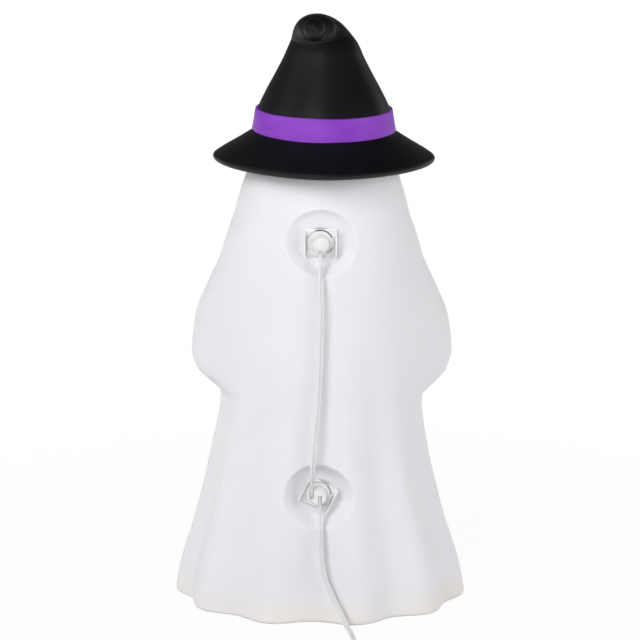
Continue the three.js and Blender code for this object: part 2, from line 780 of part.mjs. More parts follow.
function bulbGlass() {
  const outside = new THREE.SplineCurve([
    new THREE.Vector2(bulbNeckRadius, capBaseBottom - 0.6),
    new THREE.Vector2(bulbRadius * 0.68, -28.5),
    new THREE.Vector2(bulbRadius * 0.95, -33.5),
    new THREE.Vector2(bulbRadius, -39),
    new THREE.Vector2(bulbRadius * 0.86, -46.5),
    new THREE.Vector2(bulbRadius * 0.55, -53.2),
    new THREE.Vector2(0.6, bulbEnd),
  ]);
  const neckTop = capBaseTop - 2;
  const outer = [[0, bulbEnd], ...outside.getPoints(8).reverse().map((p) => [p.x, p.y]), [bulbNeckRadius, neckTop]];
  const tipWall = bulbGlassWall * 1.4;
  const inner = [];
  for (const p of outside.getPoints(5)) {
    const share = (p.y - bulbEnd) / (capBaseBottom - bulbEnd);
    if (p.x > bulbGlassWall * 2) inner.push([p.x - bulbGlassWall, p.y + tipWall * (1 - share)]);
  }
  return turned([...outer, [bulbNeckRadius - bulbGlassWall, neckTop], ...inner, [0, bulbEnd + tipWall * 1.3]], 12);
}

function wireBetween(points, radius) {
  const path = new THREE.CatmullRomCurve3(points);
  const shape = new THREE.Shape();
  for (let i = 0; i < 5; i += 1) {
    const at = (i / 5) * 2 * Math.PI;
    if (i === 0) shape.moveTo(radius, 0);
    else shape.lineTo(radius * Math.cos(at), radius * Math.sin(at));
  }
  return new THREE.ExtrudeGeometry(shape, { steps: 3, extrudePath: path, bevelEnabled: false });
}

function filamentMount() {
  const neckBore = bulbNeckRadius - bulbGlassWall;
  const top = capBaseTop - 2.6;
  const pressEnd = -29;
  let mount = solidOf(turned([
    [0, top],
    [neckBore - seatGap, top],
    [neckBore - seatGap, top - 2],
    [1.6, top - 6],
    [1.4, pressEnd + 3],
    [2.4, pressEnd + 1],
    [2.4, pressEnd],
    [0, pressEnd],
  ], 8));
  const tips = [-1, 1].map((side) => new THREE.Vector3(side * 5, 0, -42));
  for (const tip of tips) {
    const foot = new THREE.Vector3(Math.sign(tip.x) * 1.4, 0, pressEnd + 1);
    const knee = new THREE.Vector3(Math.sign(tip.x) * 3, 0, -36);
    mount = mount.add(solidOf(wireBetween([foot, knee, tip], leadWireRadius)));
  }
  const sag = new THREE.Vector3(0, 0, -40.5);
  mount = mount.add(solidOf(wireBetween([tips[0].clone().setZ(-41.7), sag, tips[1].clone().setZ(-41.7)], leadWireRadius)));
  return geometryOf(mount);
}

function addLamp(name, place, plateTurn, slots) {
  const lamp = new THREE.Group();
  lamp.position.set(place.x, place.backY - dishDepth, place.z);
  lamp.rotation.set(-Math.PI / 2, 0, Math.PI);
  const twisted = new THREE.Group();
  twisted.rotation.z = THREE.MathUtils.degToRad(plateTurn);
  lamp.add(twisted);
  addPiece(twisted, `${name}_holder_barrel`, holderBarrel(), finishes.holder);
  addPiece(twisted, `${name}_retaining_plate`, retainingPlate(), finishes.plate);
  addPiece(lamp, `${name}_end_cap`, endCap(slots), finishes.cap);
  addPiece(lamp, `${name}_centre_contact`, centreContact(), finishes.brass);
  addPiece(twisted, `${name}_screw_shell`, screwShell(), finishes.brass);
  addPiece(lamp, `${name}_bulb_contact`, bulbContact(), finishes.brass);
  addPiece(twisted, `${name}_bulb_base`, bulbBase(), finishes.brass);
  addPiece(lamp, `${name}_bulb_glass`, bulbGlass(), finishes.glass);
  addPiece(lamp, `${name}_filament_mount`, filamentMount(), finishes.filament);
  model.add(lamp);
}

// Cords

const halfCord = new THREE.Vector2(cordWidth, cordThickness).divideScalar(2);
const cordSection = [[1, 0.6], [0.62, 1], [-0.62, 1], [-1, 0.6], [-1, -0.6], [-0.62, -1], [0.62, -1], [1, -0.6]];

// wideAt gives the direction of the cord's wide side at a share of its length
function flatCord(points, wideAt, steps) {
  const path = new THREE.CatmullRomCurve3(points, false, 'centripetal');
  const rings = [];
  for (let i = 0; i <= steps; i += 1) {
    const at = path.getPointAt(i / steps);
    const along = path.getTangentAt(i / steps);
    const wide = wideAt(i / steps);
    wide.addScaledVector(along, -wide.dot(along)).normalize();
    const thin = along.clone().cross(wide);
    const corner = ([u, v]) => at.clone().addScaledVector(wide, u * halfCord.x).addScaledVector(thin, v * halfCord.y);
    rings.push(cordSection.map(corner));
  }
  return { geometry: loft(rings, { start: points[0], end: points[points.length - 1] }), length: path.getLength() };
}

// A point behind the gown's back, at a sideways place and a distance off the skin
function behindGown(x, z, standOff) {
  return new THREE.Vector3(x, skinY(x, z, 1) + standOff, z);
}

function slotStart(place, slot) {
  const fromWall = slot.side * seatGap;
  return new THREE.Vector3(place.x - slot.offset, place.backY - dishDepth + cordHeight, place.z + slot.wall + fromWall);
}

// Jumper between the two holders, hung a few millimetres off the gown's back
const jumperFrom = slotStart(lampPlaces.upper, jumperSlot);
const jumperTo = slotStart(lampPlaces.lower, lowerJumperSlot);
const jumperAt = (down, x, standOff) => behindGown(x, upperLampZ + (lowerLampZ - upperLampZ) * down, standOff);
const jumperRoute = [
  jumperFrom,
  jumperFrom.clone().add(new THREE.Vector3(0, 0, -7)),
  jumperAt(0.09, -0.6, -2.2),
  jumperAt(0.12, -0.9, 2.4),
  jumperAt(0.163, -1.2, 5.1),
  jumperAt(0.233, -1.5, 5.9),
  jumperAt(0.337, -1.5, 5.8),
  jumperAt(0.465, -0.6, 5.9),
  jumperAt(0.58, 0.6, 6.4),
  jumperAt(0.717, 3.2, 7.2),
  jumperAt(0.82, 5.8, 8),
  jumperAt(0.9, 7.6, 5.9),
  jumperAt(0.946, jumperTo.x, 1.4),
  jumperTo.clone().add(new THREE.Vector3(0, 0, 7)),
  jumperTo,
];

// Lead from the lower holder, down the gown and out behind the ghost, where it turns flat on the floor
const coilHeight = tieStrap + tieClear + 0.1 + cordWidth / 2;
const coilEntry = new THREE.Vector3(coilCentre.x - coilOuterRadius, coilCentre.y - cordWidth, coilHeight);
const floorHeight = cordThickness / 2 + seatGap;
const leadFrom = slotStart(lampPlaces.lower, leadSlot);
const leadAt = (up, x, standOff) => behindGown(x, lowerLampZ * up, standOff);
const onFloor = (x, share, height) => new THREE.Vector3(x, hemHalfDepth + (coilEntry.y - hemHalfDepth) * share, height);
const leadRoute = [
  leadFrom,
  leadFrom.clone().add(new THREE.Vector3(0, 0, -8)),
  leadAt(0.864, -0.3, -1.1),
  leadAt(0.758, -0.6, 4),
  leadAt(0.636, -0.8, 6.8),
  leadAt(0.5, -1.4, 7.6),
  leadAt(0.364, -5.5, 7.8),
  leadAt(0.235, -13, 7.6),
  leadAt(0.125, -20.5, 9),
  leadAt(0.05, -26.5, 15),
  onFloor(-30.5, 0.225, floorHeight + 1.6),
  onFloor(-33, 0.33, floorHeight + 0.5),
  onFloor(-34.4, 0.485, floorHeight + 0.35),
  onFloor(-35, 0.665, floorHeight + 0.6),
  onFloor(coilEntry.x, 0.845, floorHeight + 1.6),
  coilEntry.clone().add(new THREE.Vector3(0, -8, 0)),
  coilEntry.clone().add(new THREE.Vector3(0, -seatGap, 0)),
];

// Coil: in along the lower layer, up in a half turn, out along the upper layer, then straight to the plug
function coilPath() {
  const pitch = cordThickness + coilTurnGap;
  const rise = cordWidth + coilLayerGap;
  const points = [coilEntry.clone()];
  const spiral = coilSpiralTurns * 2 * Math.PI;
  const total = 2 * spiral + Math.PI;
  const steps = Math.round((total / (2 * Math.PI)) * coilStepsPerTurn);
  const innermost = coilOuterRadius - (pitch * (spiral + Math.PI / 2)) / (2 * Math.PI);
  for (let i = 0; i <= steps; i += 1) {
    const gone = (total * i) / steps;
    const radius = innermost + (pitch * Math.abs(gone - total / 2)) / (2 * Math.PI);
    const climb = rise * easeBetween(spiral + (0.5 - climbShare / 2) * Math.PI, spiral + (0.5 + climbShare / 2) * Math.PI, gone);
    const angle = Math.PI - gone;
    points.push(new THREE.Vector3(coilCentre.x + radius * Math.cos(angle), coilCentre.y + radius * Math.sin(angle), coilHeight + climb));
  }
  const last = points[points.length - 1];
  points.push(last.clone().add(new THREE.Vector3(cordWidth, 0, 0)));
  points.push(last.clone().add(new THREE.Vector3(tailLength, 0, 0)));
  return points;
}

function tubeAlong(points) {
  const section = [[0, 1], [1, 0.55], [1, -0.55], [0, -1], [-1, -0.55], [-1, 0.55]];
  const upward = new THREE.Vector3(0, 0, 1);
  const rings = points.map((p, i) => {
    const before = points[Math.max(i - 1, 0)];
    const after = points[Math.min(i + 1, points.length - 1)];
    const side = after.clone().sub(before).setZ(0).normalize().cross(upward);
    const corner = ([u, v]) => p.clone().addScaledVector(side, u * halfCord.y).addScaledVector(upward, v * halfCord.x);
    return section.map(corner);
  });
  return loft(rings, { start: points[0], end: points[points.length - 1] });
}

function pathLength(points) {
  return points.slice(1).reduce((sum, p, i) => sum + p.distanceTo(points[i]), 0);
}

// Least clear distance between stretches of the coil that are not neighbours along it
function leastGapToItself(points) {
  let least = Infinity;
  for (let i = 0; i < points.length; i += 1) {
    for (let j = i + 12; j < points.length; j += 1) {
      const apart = points[i].clone().sub(points[j]);
      const sideways = Math.hypot(apart.x, apart.y) - cordThickness;
      const upward = Math.abs(apart.z) - cordWidth;
      least = Math.min(least, Math.max(sideways, upward));
    }
  }
  return least;
}

// A strap around both layers on one side of the coil, with the tab that closes it
function coilTie() {
  const [w, t] = halfCord.toArray();
  const pitch = cordThickness + coilTurnGap;
  const inner = coilOuterRadius - pitch * (coilSpiralTurns + 0.25) - t - tieClear;
  const outer = coilOuterRadius + t + tieClear;
  const low = coilHeight - w - tieClear;
  const high = coilHeight + cordWidth + coilLayerGap + w + tieClear;
  const frame = new THREE.Shape();
  frame.moveTo(inner - tieStrap, low - tieStrap);
  frame.lineTo(outer + tieStrap, low - tieStrap);
  frame.lineTo(outer + tieStrap, high - 3);
  frame.lineTo(outer + tieTab, high - 2.8);
  frame.lineTo(outer + tieTab, high - 1.2);
  frame.lineTo(outer + tieStrap, high - 1);
  frame.lineTo(outer + tieStrap, high + tieStrap);
  frame.lineTo(inner - tieStrap, high + tieStrap);
  frame.closePath();
  const window = new THREE.Path();
  window.moveTo(inner, low);
  window.lineTo(inner, high);
  window.lineTo(outer, high);
  window.lineTo(outer, low);
  window.closePath();
  frame.holes.push(window);
  const strap = new THREE.ExtrudeGeometry(frame, { depth: tieWidth, bevelEnabled: false });
  strap.translate(0, 0, -tieWidth / 2).rotateX(Math.PI / 2);
  return strap;
}

// Plug, lying on its side with its blades along +X

function plugRing(x, halfWidth, halfHeight) {
  const squared = (share) => Math.sign(share) * Math.abs(share) ** 0.45;
  return ringOf(20, (turn) => new THREE.Vector3(x, halfWidth * squared(Math.cos(turn)), halfHeight * squared(Math.sin(turn))));
}

function plugBody() {
  const [w, h, neck] = [plugWidth / 2, plugThickness / 2, plugNeckSize / 2];
  return loft([
    plugRing(0, neck, neck),
    plugRing(6, neck + 0.6, neck + 0.6),
    plugRing(9, w * 0.72, h * 0.8),
    plugRing(13, w * 0.94, h * 0.96),
    plugRing(18, w, h),
    plugRing(plugLength - 1.5, w, h),
    plugRing(plugLength, w - 1.3, h - 1.3),
  ], { start: new THREE.Vector3(0, 0, 0), end: new THREE.Vector3(plugLength, 0, 0) });
}

function plugBlade(width) {
  const half = width / 2;
  const chamfer = 1.6;
  const outline = new THREE.Shape();
  outline.moveTo(0, -half);
  outline.lineTo(bladeLength - chamfer, -half);
  outline.lineTo(bladeLength, -half + chamfer);
  outline.lineTo(bladeLength, half - chamfer);
  outline.lineTo(bladeLength - chamfer, half);
  outline.lineTo(0, half);
  outline.closePath();
  const hole = new THREE.Path();
  hole.absarc(bladeLength - 5, 0, bladeHoleRadius, 0, 2 * Math.PI, true);
  outline.holes.push(hole);
  const blade = new THREE.ExtrudeGeometry(outline, { depth: bladeThickness, bevelEnabled: false, curveSegments: 5 });
  return blade.translate(0, 0, -bladeThickness / 2).rotateX(Math.PI / 2);
}

// Assembly

addPiece(model, 'gown_shell', gownShell(), finishes.gown);
addPiece(model, 'hat_shell', hatShell(), finishes.hat);
addPiece(model, 'hat_band', hatBand(), finishes.band);

addLamp('upper', lampPlaces.upper, 0, [jumperSlot]);
addLamp('lower', lampPlaces.lower, lowerPlateTurn, [lowerJumperSlot, leadSlot]);

const outOfBack = () => new THREE.Vector3(0, 1, 0);
const leadTwist = (share) => outOfBack()
  .lerp(new THREE.Vector3(1, 0, 0), easeBetween(0.33, 0.53, share))
  .lerp(new THREE.Vector3(0, 0, 1), easeBetween(0.76, 0.97, share));
const jumper = flatCord(jumperRoute, outOfBack, 30);
const lead = flatCord(leadRoute, leadTwist, 36);
const coil = coilPath();
addPiece(model, 'jumper_cord', jumper.geometry, finishes.cord);
addPiece(model, 'lead_cord', lead.geometry, finishes.cord);
addPiece(model, 'lead_coil', tubeAlong(coil), finishes.cord);
const tie = addPiece(model, 'coil_tie', coilTie(), finishes.tie);
tie.position.set(coilCentre.x, coilCentre.y, 0);
tie.rotation.z = THREE.MathUtils.degToRad(-20);

const tailEnd = coil[coil.length - 1];
const plug = new THREE.Group();
plug.position.copy(tailEnd).add(new THREE.Vector3(seatGap, 0, 0));
addPiece(plug, 'plug_body', plugBody(), finishes.plug);
const narrowBlade = addPiece(plug, 'plug_blade_narrow', plugBlade(narrowBladeWidth), finishes.brass);
narrowBlade.position.set(plugLength + seatGap, bladeSpacing / 2, 0);
const wideBlade = addPiece(plug, 'plug_blade_wide', plugBlade(wideBladeWidth), finishes.brass);
wideBlade.position.set(plugLength + seatGap, -bladeSpacing / 2, 0);
model.add(plug);

console.log(`jumper ${jumper.length.toFixed(0)} mm, lead ${(lead.length + pathLength(coil)).toFixed(0)} mm`);
console.log(`coil's least gap to itself ${leastGapToItself(coil).toFixed(2)} mm`);

export default model;
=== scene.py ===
import math

import bmesh
import bpy
import numpy as np
from mathutils import Matrix, Vector


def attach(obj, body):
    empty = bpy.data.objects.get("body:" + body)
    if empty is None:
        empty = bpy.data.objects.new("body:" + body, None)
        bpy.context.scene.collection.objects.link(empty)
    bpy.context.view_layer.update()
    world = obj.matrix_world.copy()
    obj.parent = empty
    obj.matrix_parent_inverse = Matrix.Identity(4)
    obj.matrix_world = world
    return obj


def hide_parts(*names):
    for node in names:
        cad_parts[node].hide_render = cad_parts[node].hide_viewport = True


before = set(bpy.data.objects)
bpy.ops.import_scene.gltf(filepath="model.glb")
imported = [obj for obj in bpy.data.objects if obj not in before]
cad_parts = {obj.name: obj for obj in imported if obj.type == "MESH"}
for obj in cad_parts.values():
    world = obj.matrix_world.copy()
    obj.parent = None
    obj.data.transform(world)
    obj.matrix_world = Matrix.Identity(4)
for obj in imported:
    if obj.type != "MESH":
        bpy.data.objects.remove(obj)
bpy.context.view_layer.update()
mm = 0.001
print("ghost: packed parts are in")


# shader nodes

def addNode(tree, kind, inputs=None, **settings):
    # inputs are values, colours without alpha, or the nodes and outputs that feed them
    node = tree.nodes.new("ShaderNode" + kind)
    for name, value in settings.items():
        setattr(node, name, value)
    for key, value in (inputs or {}).items():
        socket = node.inputs[key]
        if isinstance(value, bpy.types.Node):
            value = value.outputs[0]
        if isinstance(value, bpy.types.NodeSocket):
            tree.links.new(value, socket)
        else:
            socket.default_value = (*value, 1) if socket.type == "RGBA" else value
    return node


def calculate(tree, operation, first, second):
    return addNode(tree, "Math", {0: first, 1: second}, operation=operation)


def remap(tree, value, low, high, fromLow=0.3, fromHigh=0.7, kind="LINEAR"):
    ends = {"From Min": fromLow, "From Max": fromHigh, "To Min": low, "To Max": high}
    return addNode(tree, "MapRange", {"Value": value, **ends}, interpolation_type=kind)


def blend(tree, share, low, high):
    return addNode(tree, "Mix", {0: share, 6: low, 7: high}, data_type="RGBA").outputs[2]


def ownPlace(tree):
    return addNode(tree, "TexCoord").outputs["Object"]


def grainAt(tree, scale, detail=2, roughness=0.5, stretch=None):
    place = ownPlace(tree)
    if stretch:
        place = addNode(tree, "Mapping", {"Vector": place, "Scale": stretch})
    return addNode(tree, "TexNoise", {"Vector": place, "Scale": scale, "Detail": detail, "Roughness": roughness})


def emptyTree(owner):
    owner.use_nodes = True
    owner.node_tree.nodes.clear()
    return owner.node_tree


# camera and light

camera = {
    "place": (0.0, 3.170, 1.154),
    "pitchDown": 15.23,  # degrees
    "lens": 180.3,
    "sensorWidth": 36,
    "farthest": 30,
}
light = {
    # strengths of the pale room at eye level and overhead, for light and for reflections
    "room": (0.78, 0.24),
    "mirrored": (0.2, 0.02),
    "tint": (1, 0.995, 1),
    "rise": (0.1, 0.75),  # from eye level to overhead
    "aim": (0, 0, 0.3),
    # place, size, power in watts, whether it lights matte and glossy surfaces
    "softboxes": {
        "keySoftbox": ((0.8, 2.8, 1.7), 1.0, 14.5, True, True),
        "highSoftbox": ((1.7, 1.7, 2.0), 1.3, 40, True, False),
        "fillSoftbox": ((-2.2, 1.2, 1.0), 1.7, 21.5, True, False),
        "faceSoftbox": ((-0.3, -2.9, 0.9), 0.9, 42, True, False),
        "keySheen": ((0.8, 2.8, 1.7), 1.0, 4.5, False, True),
        "leftSheen": ((2.3, 0.9, 1.5), 1.0, 5, False, True),
        "rightSheen": ((-2.3, -1.5, 0.8), 1.0, 2.5, False, True),
    },
}
floor = {"size": 8.0, "colour": (0.62, 0.62, 0.62), "whiteShare": 0.96, "clearFrom": (0.25, 0.75)}


def linked(name, data, place=(0, 0, 0)):
    thing = bpy.data.objects.new(name, data)
    thing.location = place
    bpy.context.scene.collection.objects.link(thing)
    return thing


def makeCamera():
    data = bpy.data.cameras.new("viewCamera")
    data.lens = camera["lens"]
    data.sensor_width = camera["sensorWidth"]
    data.clip_end = camera["farthest"]
    eye = linked("viewCamera", data, camera["place"])
    eye.rotation_euler = (math.radians(90 - camera["pitchDown"]), 0, math.pi)
    bpy.context.scene.camera = eye


def makeLights():
    world = bpy.data.worlds.new("paleRoom")
    bpy.context.scene.world = world
    tree = emptyTree(world)
    ray = addNode(tree, "LightPath").outputs
    seen = calculate(tree, "MAXIMUM", ray["Is Camera Ray"], ray["Is Transmission Ray"])
    height = addNode(tree, "SeparateXYZ", {0: addNode(tree, "TexCoord").outputs["Generated"]}).outputs["Z"]
    lit, mirrored = (remap(tree, height, *light[key], *light["rise"], "SMOOTHSTEP") for key in ("room", "mirrored"))
    strength = addNode(tree, "Mix", {0: ray["Is Glossy Ray"], 2: lit, 3: mirrored})
    room = addNode(tree, "Background", {"Color": light["tint"], "Strength": strength})
    white = addNode(tree, "Background", {"Color": (1, 1, 1)})
    addNode(tree, "OutputWorld", {"Surface": addNode(tree, "MixShader", {0: seen, 1: room, 2: white})})
    for name, (place, size, power, matte, glossy) in light["softboxes"].items():
        data = bpy.data.lights.new(name, "AREA")
        data.shape = "DISK"
        data.size = size
        data.energy = power
        lamp = linked(name, data, place)
        lamp.visible_diffuse = matte
        lamp.visible_glossy = glossy
        lamp.rotation_euler = (Vector(light["aim"]) - Vector(place)).to_track_quat("-Z", "Y").to_euler()


def makeFloor():
    finish = bpy.data.materials.new("paleFloor")
    tree = emptyTree(finish)
    ray = addNode(tree, "LightPath").outputs
    some = calculate(tree, "MAXIMUM", ray["Is Camera Ray"], ray["Is Transmission Ray"])
    some = calculate(tree, "MAXIMUM", some, ray["Is Glossy Ray"])
    away = addNode(tree, "VectorMath", {0: ownPlace(tree)}, operation="LENGTH").outputs["Value"]
    fade = remap(tree, away, floor["whiteShare"], 1, *floor["clearFrom"], "SMOOTHSTEP")
    amount = calculate(tree, "MULTIPLY", some, fade)
    matte = addNode(tree, "BsdfDiffuse", {"Color": floor["colour"]})
    glow = addNode(tree, "Emission")
    addNode(tree, "OutputMaterial", {"Surface": addNode(tree, "MixShader", {0: amount, 1: matte, 2: glow})})
    half = floor["size"] / 2
    data = bpy.data.meshes.new("paleFloor")
    data.from_pydata([(-half, -half, 0), (half, -half, 0), (half, half, 0), (-half, half, 0)], [], [(0, 1, 2, 3)])
    data.materials.append(finish)
    linked("paleFloor", data)


# finishes

def shade(tree, bumps, inputs):
    # bumps are (what grainAt takes, strength, distance in metres), one on top of the other
    normal = {}
    for noise, strength, distance in bumps:
        bump = {"Height": grainAt(tree, *noise), "Strength": strength, "Distance": distance, **normal}
        normal = {"Normal": addNode(tree, "Bump", bump)}
    addNode(tree, "OutputMaterial", {"Surface": addNode(tree, "BsdfPrincipled", {**inputs, **normal})})


gownFinish = {
    "milk": (0.835, 0.827, 0.855),
    "thin": (0.81, 0.80, 0.832),
    "hemTint": (0.86, 0.80, 0.72),
    "hemTintTop": 0.032,
    "roughness": (0.36, 0.46),
    "gloss": 0.45,
    "haze": (0.5, (1, 0.95, 0.9), 0.004),  # how much light goes into the skin, and how deep
    "ripple": ((45, 2, 0.5, (1, 1, 0.3)), 0.35, 0.0006),
    "grain": ((1500, 2, 0.6), 0.25, 0.00008),
}


def makeGownFinish():
    look = gownFinish
    finish = bpy.data.materials.new("milkyPolyethylene")
    tree = emptyTree(finish)
    mould = blend(tree, remap(tree, grainAt(tree, 9, 3), 0, 1), look["milk"], look["thin"])
    height = addNode(tree, "SeparateXYZ", {0: ownPlace(tree)}).outputs["Z"]
    low = remap(tree, height, 1, 0, 0.0, look["hemTintTop"])
    amount = calculate(tree, "MULTIPLY", low, remap(tree, grainAt(tree, 14), 0.2, 1))
    weight, radius, scale = look["haze"]
    shade(tree, (look["ripple"], look["grain"]), {
        "Base Color": blend(tree, amount, mould, look["hemTint"]),
        "Roughness": remap(tree, grainAt(tree, 60, stretch=(1, 1, 0.15)), *look["roughness"]),
        "Specular IOR Level": look["gloss"],
        "Subsurface Weight": weight,
        "Subsurface Radius": radius,
        "Subsurface Scale": scale,
    })
    return finish


def clearPlastic(name, tint, clearness, roughness):
    return {"name": name, "colours": (tint, tuple(c * 0.95 for c in tint)), "roughness": roughness, "drift": (140, 3),
            "bumps": [((700,), 0.15, 0.0001)], "more": {"Transmission Weight": clearness, "IOR": 1.49}}


def metal(name, bright, dull, roughness, stretch=None):
    return {"name": name, "colours": (bright, dull), "roughness": roughness, "drift": (220, 4),
            "bumps": [((800, 2, 0.5, stretch), 0.2, 0.00008)], "more": {"Metallic": 1}}


# two colours and a range of roughness follow one drifting noise; faint ones blend less
plainFinishes = {
    "face": {
        "name": "facePaint", "colours": ((0.011, 0.011, 0.013), (0.02, 0.02, 0.023)), "roughness": (0.2, 0.32),
        "drift": (120, 4), "bumps": [((900,), 0.2, 0.0001)],
    },
    "hat": {
        "name": "satinBlackPaint", "colours": ((0.003, 0.003, 0.0046), (0.0055, 0.0055, 0.0075)),
        "roughness": (0.42, 0.52), "drift": (16, 4), "more": {"Specular IOR Level": 0.34},
        "bumps": [((180,), 0.12, 0.0002), ((1300, 2, 0.6), 0.2, 0.00006)],
    },
    "band": {
        "name": "satinPurplePaint", "colours": ((0.262, 0.056, 0.535), (0.214, 0.038, 0.465)),
        "roughness": (0.38, 0.5), "drift": (22, 3, 0.5, (1, 1, 3)), "more": {"Specular IOR Level": 0.3},
        "bumps": [((300, 3), 0.3, 0.0002)],
    },
    "holder": clearPlastic("holderPlastic", (0.8, 0.8, 0.81), 0.0, (0.22, 0.34)),
    "plate": clearPlastic("platePlastic", (0.96, 0.96, 0.97), 0.12, (0.10, 0.2)),
    "cap": clearPlastic("capPlastic", (0.89, 0.885, 0.90), 0.06, (0.05, 0.12)),
    # a darker copy of the cap plastic: painted shade for the lower lamp's cap
    "shadedCap": clearPlastic("shadedCapPlastic", (0.87, 0.86, 0.855), 0.06, (0.08, 0.16)),
    "plug": clearPlastic("plugPlastic", (0.84, 0.84, 0.86), 0.3, (0.18, 0.3)),
    "brass": metal("rolledBrass", (0.72, 0.52, 0.22), (0.5, 0.36, 0.15), (0.22, 0.4), (1, 1, 0.1)),
    "solder": metal("solderTip", (0.62, 0.62, 0.6), (0.42, 0.42, 0.41), (0.3, 0.45)),
    "wire": metal("filamentWire", (0.42, 0.41, 0.4), (0.25, 0.25, 0.25), (0.3, 0.45)),
    "strand": metal("tinnedStrand", (0.88, 0.88, 0.88), (0.66, 0.66, 0.67), (0.25, 0.4)),
    "glass": {
        "name": "bulbGlass", "colours": ((0.97, 0.975, 0.97), (0.93, 0.935, 0.93)), "roughness": (0.02, 0.06),
        "drift": (90, 3), "faint": True, "bumps": [((120,), 0.1, 0.0002)],
        "more": {"Transmission Weight": 1, "IOR": 1.5},
    },
    "jacket": {
        "name": "clearVinyl", "colours": ((0.88, 0.88, 0.89), (0.83, 0.83, 0.84)), "roughness": (0.14, 0.26),
        "drift": (160, 3), "faint": True, "bumps": [((500,), 0.12, 0.0001)],
        "more": {"Transmission Weight": 0.2, "IOR": 1.5},
    },
    "tie": {
        "name": "tieVinyl", "colours": ((0.82, 0.82, 0.82), (0.7, 0.7, 0.71)), "roughness": (0.4, 0.6),
        "drift": (400, 3), "faint": True, "bumps": [((400, 3), 0.4, 0.0002)],
    },
}


def makePlainFinish(look):
    finish = bpy.data.materials.new(look["name"])
    tree = emptyTree(finish)
    drift = grainAt(tree, *look["drift"])
    share = drift if "faint" in look else remap(tree, drift, 0, 1)
    shade(tree, look["bumps"], {
        "Base Color": blend(tree, share, *look["colours"]),
        "Roughness": remap(tree, drift, *look["roughness"]),
        **look.get("more", {}),
    })
    return finish


finishes = {key: makePlainFinish(look) for key, look in plainFinishes.items()}
finishes["gown"] = makeGownFinish()
print("ghost: finishes are mixed")


# mesh helpers, all sizes in millimetres until the last step

def throughStations(places, values):
    # a smooth curve that never swings past its stations
    at = np.array(places, float)
    v = np.array(values, float)
    rise = np.diff(v) / np.diff(at)
    slope = np.zeros(len(v))
    slope[0], slope[-1] = rise[0], rise[-1]
    same = rise[:-1] * rise[1:] > 0
    slope[1:-1][same] = 2 * rise[:-1][same] * rise[1:][same] / (rise[:-1][same] + rise[1:][same])

    def curve(x):
        x = np.clip(x, at[0], at[-1])
        i = np.clip(np.searchsorted(at, x) - 1, 0, len(at) - 2)
        span = at[i + 1] - at[i]
        s = (x - at[i]) / span
        bulge = s * (1 - s) * span
        share = s * s * (3 - 2 * s)
        return v[i] + (v[i + 1] - v[i]) * share + bulge * ((1 - s) * slope[i] - s * slope[i + 1])

    return curve


def ease(low, high, x):
    s = np.clip((np.asarray(x, float) - low) / (high - low), 0, 1)
    return s * s * (3 - 2 * s)


def fullTurn(count):
    return np.arange(count) / count * 2 * math.pi


def unit(vectors):
    return vectors / np.linalg.norm(vectors, axis=-1, keepdims=True)


def addMesh(name, points, faces, looks, body, slotName, replaces=(), sharpFrom=40, second=(), size=mm):
    # looks are one finish or two, the other one for the second faces
    # without sharpFrom, in degrees, the mesh isn't welded and is smooth everywhere
    data = bpy.data.meshes.new(name)
    data.from_pydata([tuple(float(c) * size for c in p) for p in points], [], [tuple(int(i) for i in f) for f in faces])
    for look in looks.split():
        data.materials.append(finishes[look])
    for index, face in enumerate(data.polygons):
        face.material_index = int(index in second)
    work = bmesh.new()
    work.from_mesh(data)
    if sharpFrom:
        bmesh.ops.remove_doubles(work, verts=work.verts, dist=1e-7)
        bmesh.ops.dissolve_degenerate(work, edges=work.edges, dist=1e-8)
    bmesh.ops.recalc_face_normals(work, faces=work.faces)
    work.to_mesh(data)
    work.free()
    for face in data.polygons:
        face.use_smooth = True
    if sharpFrom:
        data.set_sharp_from_angle(angle=math.radians(sharpFrom))
    piece = linked(name, data)
    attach(piece, body)
    if replaces:
        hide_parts(*replaces)
    return piece


def loft(rings, start=None, end=None, closed=False):
    # rings of equal count, joined in order; a start or end point closes with a fan
    rings = np.asarray(rings, float)
    count, sides = rings.shape[:2]
    points = [tuple(p) for p in rings.reshape(-1, 3)]
    faces = []
    for r in range(count if closed else count - 1):
        here, there = r * sides, ((r + 1) % count) * sides
        for i in range(sides):
            j = (i + 1) % sides
            faces.append((here + i, here + j, there + j, there + i))
    if start is not None:
        points.append(tuple(start))
        faces += [(len(points) - 1, (i + 1) % sides, i) for i in range(sides)]
    if end is not None:
        last = (count - 1) * sides
        points.append(tuple(end))
        faces += [(len(points) - 1, last + i, last + (i + 1) % sides) for i in range(sides)]
    return points, faces


def turned(profile, sides):
    # closed profile of (radius, height) turned about the local z axis
    turn = fullTurn(sides)
    rings = [np.stack([r * np.cos(turn), r * np.sin(turn), np.full(sides, z)], 1) for r, z in profile]
    return loft(rings, closed=True)


def roundedProfile(profile, rounding, steps=4):
    # every corner of a closed (radius, height) outline gets a small arc
    result = []
    count = len(profile)
    for i in range(count):
        before, here, after = (np.array(profile[k % count], float) for k in (i - 1, i, i + 1))
        a, b = before - here, after - here
        la, lb = np.linalg.norm(a), np.linalg.norm(b)
        cut = min(rounding, 0.45 * la, 0.45 * lb)
        if here[0] < 1e-6 or cut < 1e-3:
            result.append(tuple(here))
            continue
        p, q = here + a / la * cut, here + b / lb * cut
        for k in range(steps + 1):
            s = k / steps
            result.append(tuple((1 - s) ** 2 * p + 2 * s * (1 - s) * here + s * s * q))
    return result


def softEdges(piece, width):
    bevel = piece.modifiers.new("softEdges", "BEVEL")
    bevel.width = width * mm
    bevel.segments = 2
    bevel.limit_method = "ANGLE"
    bevel.angle_limit = math.radians(35)
    return piece


# gown: one hollow moulding with its sleeves, folds, dishes and face

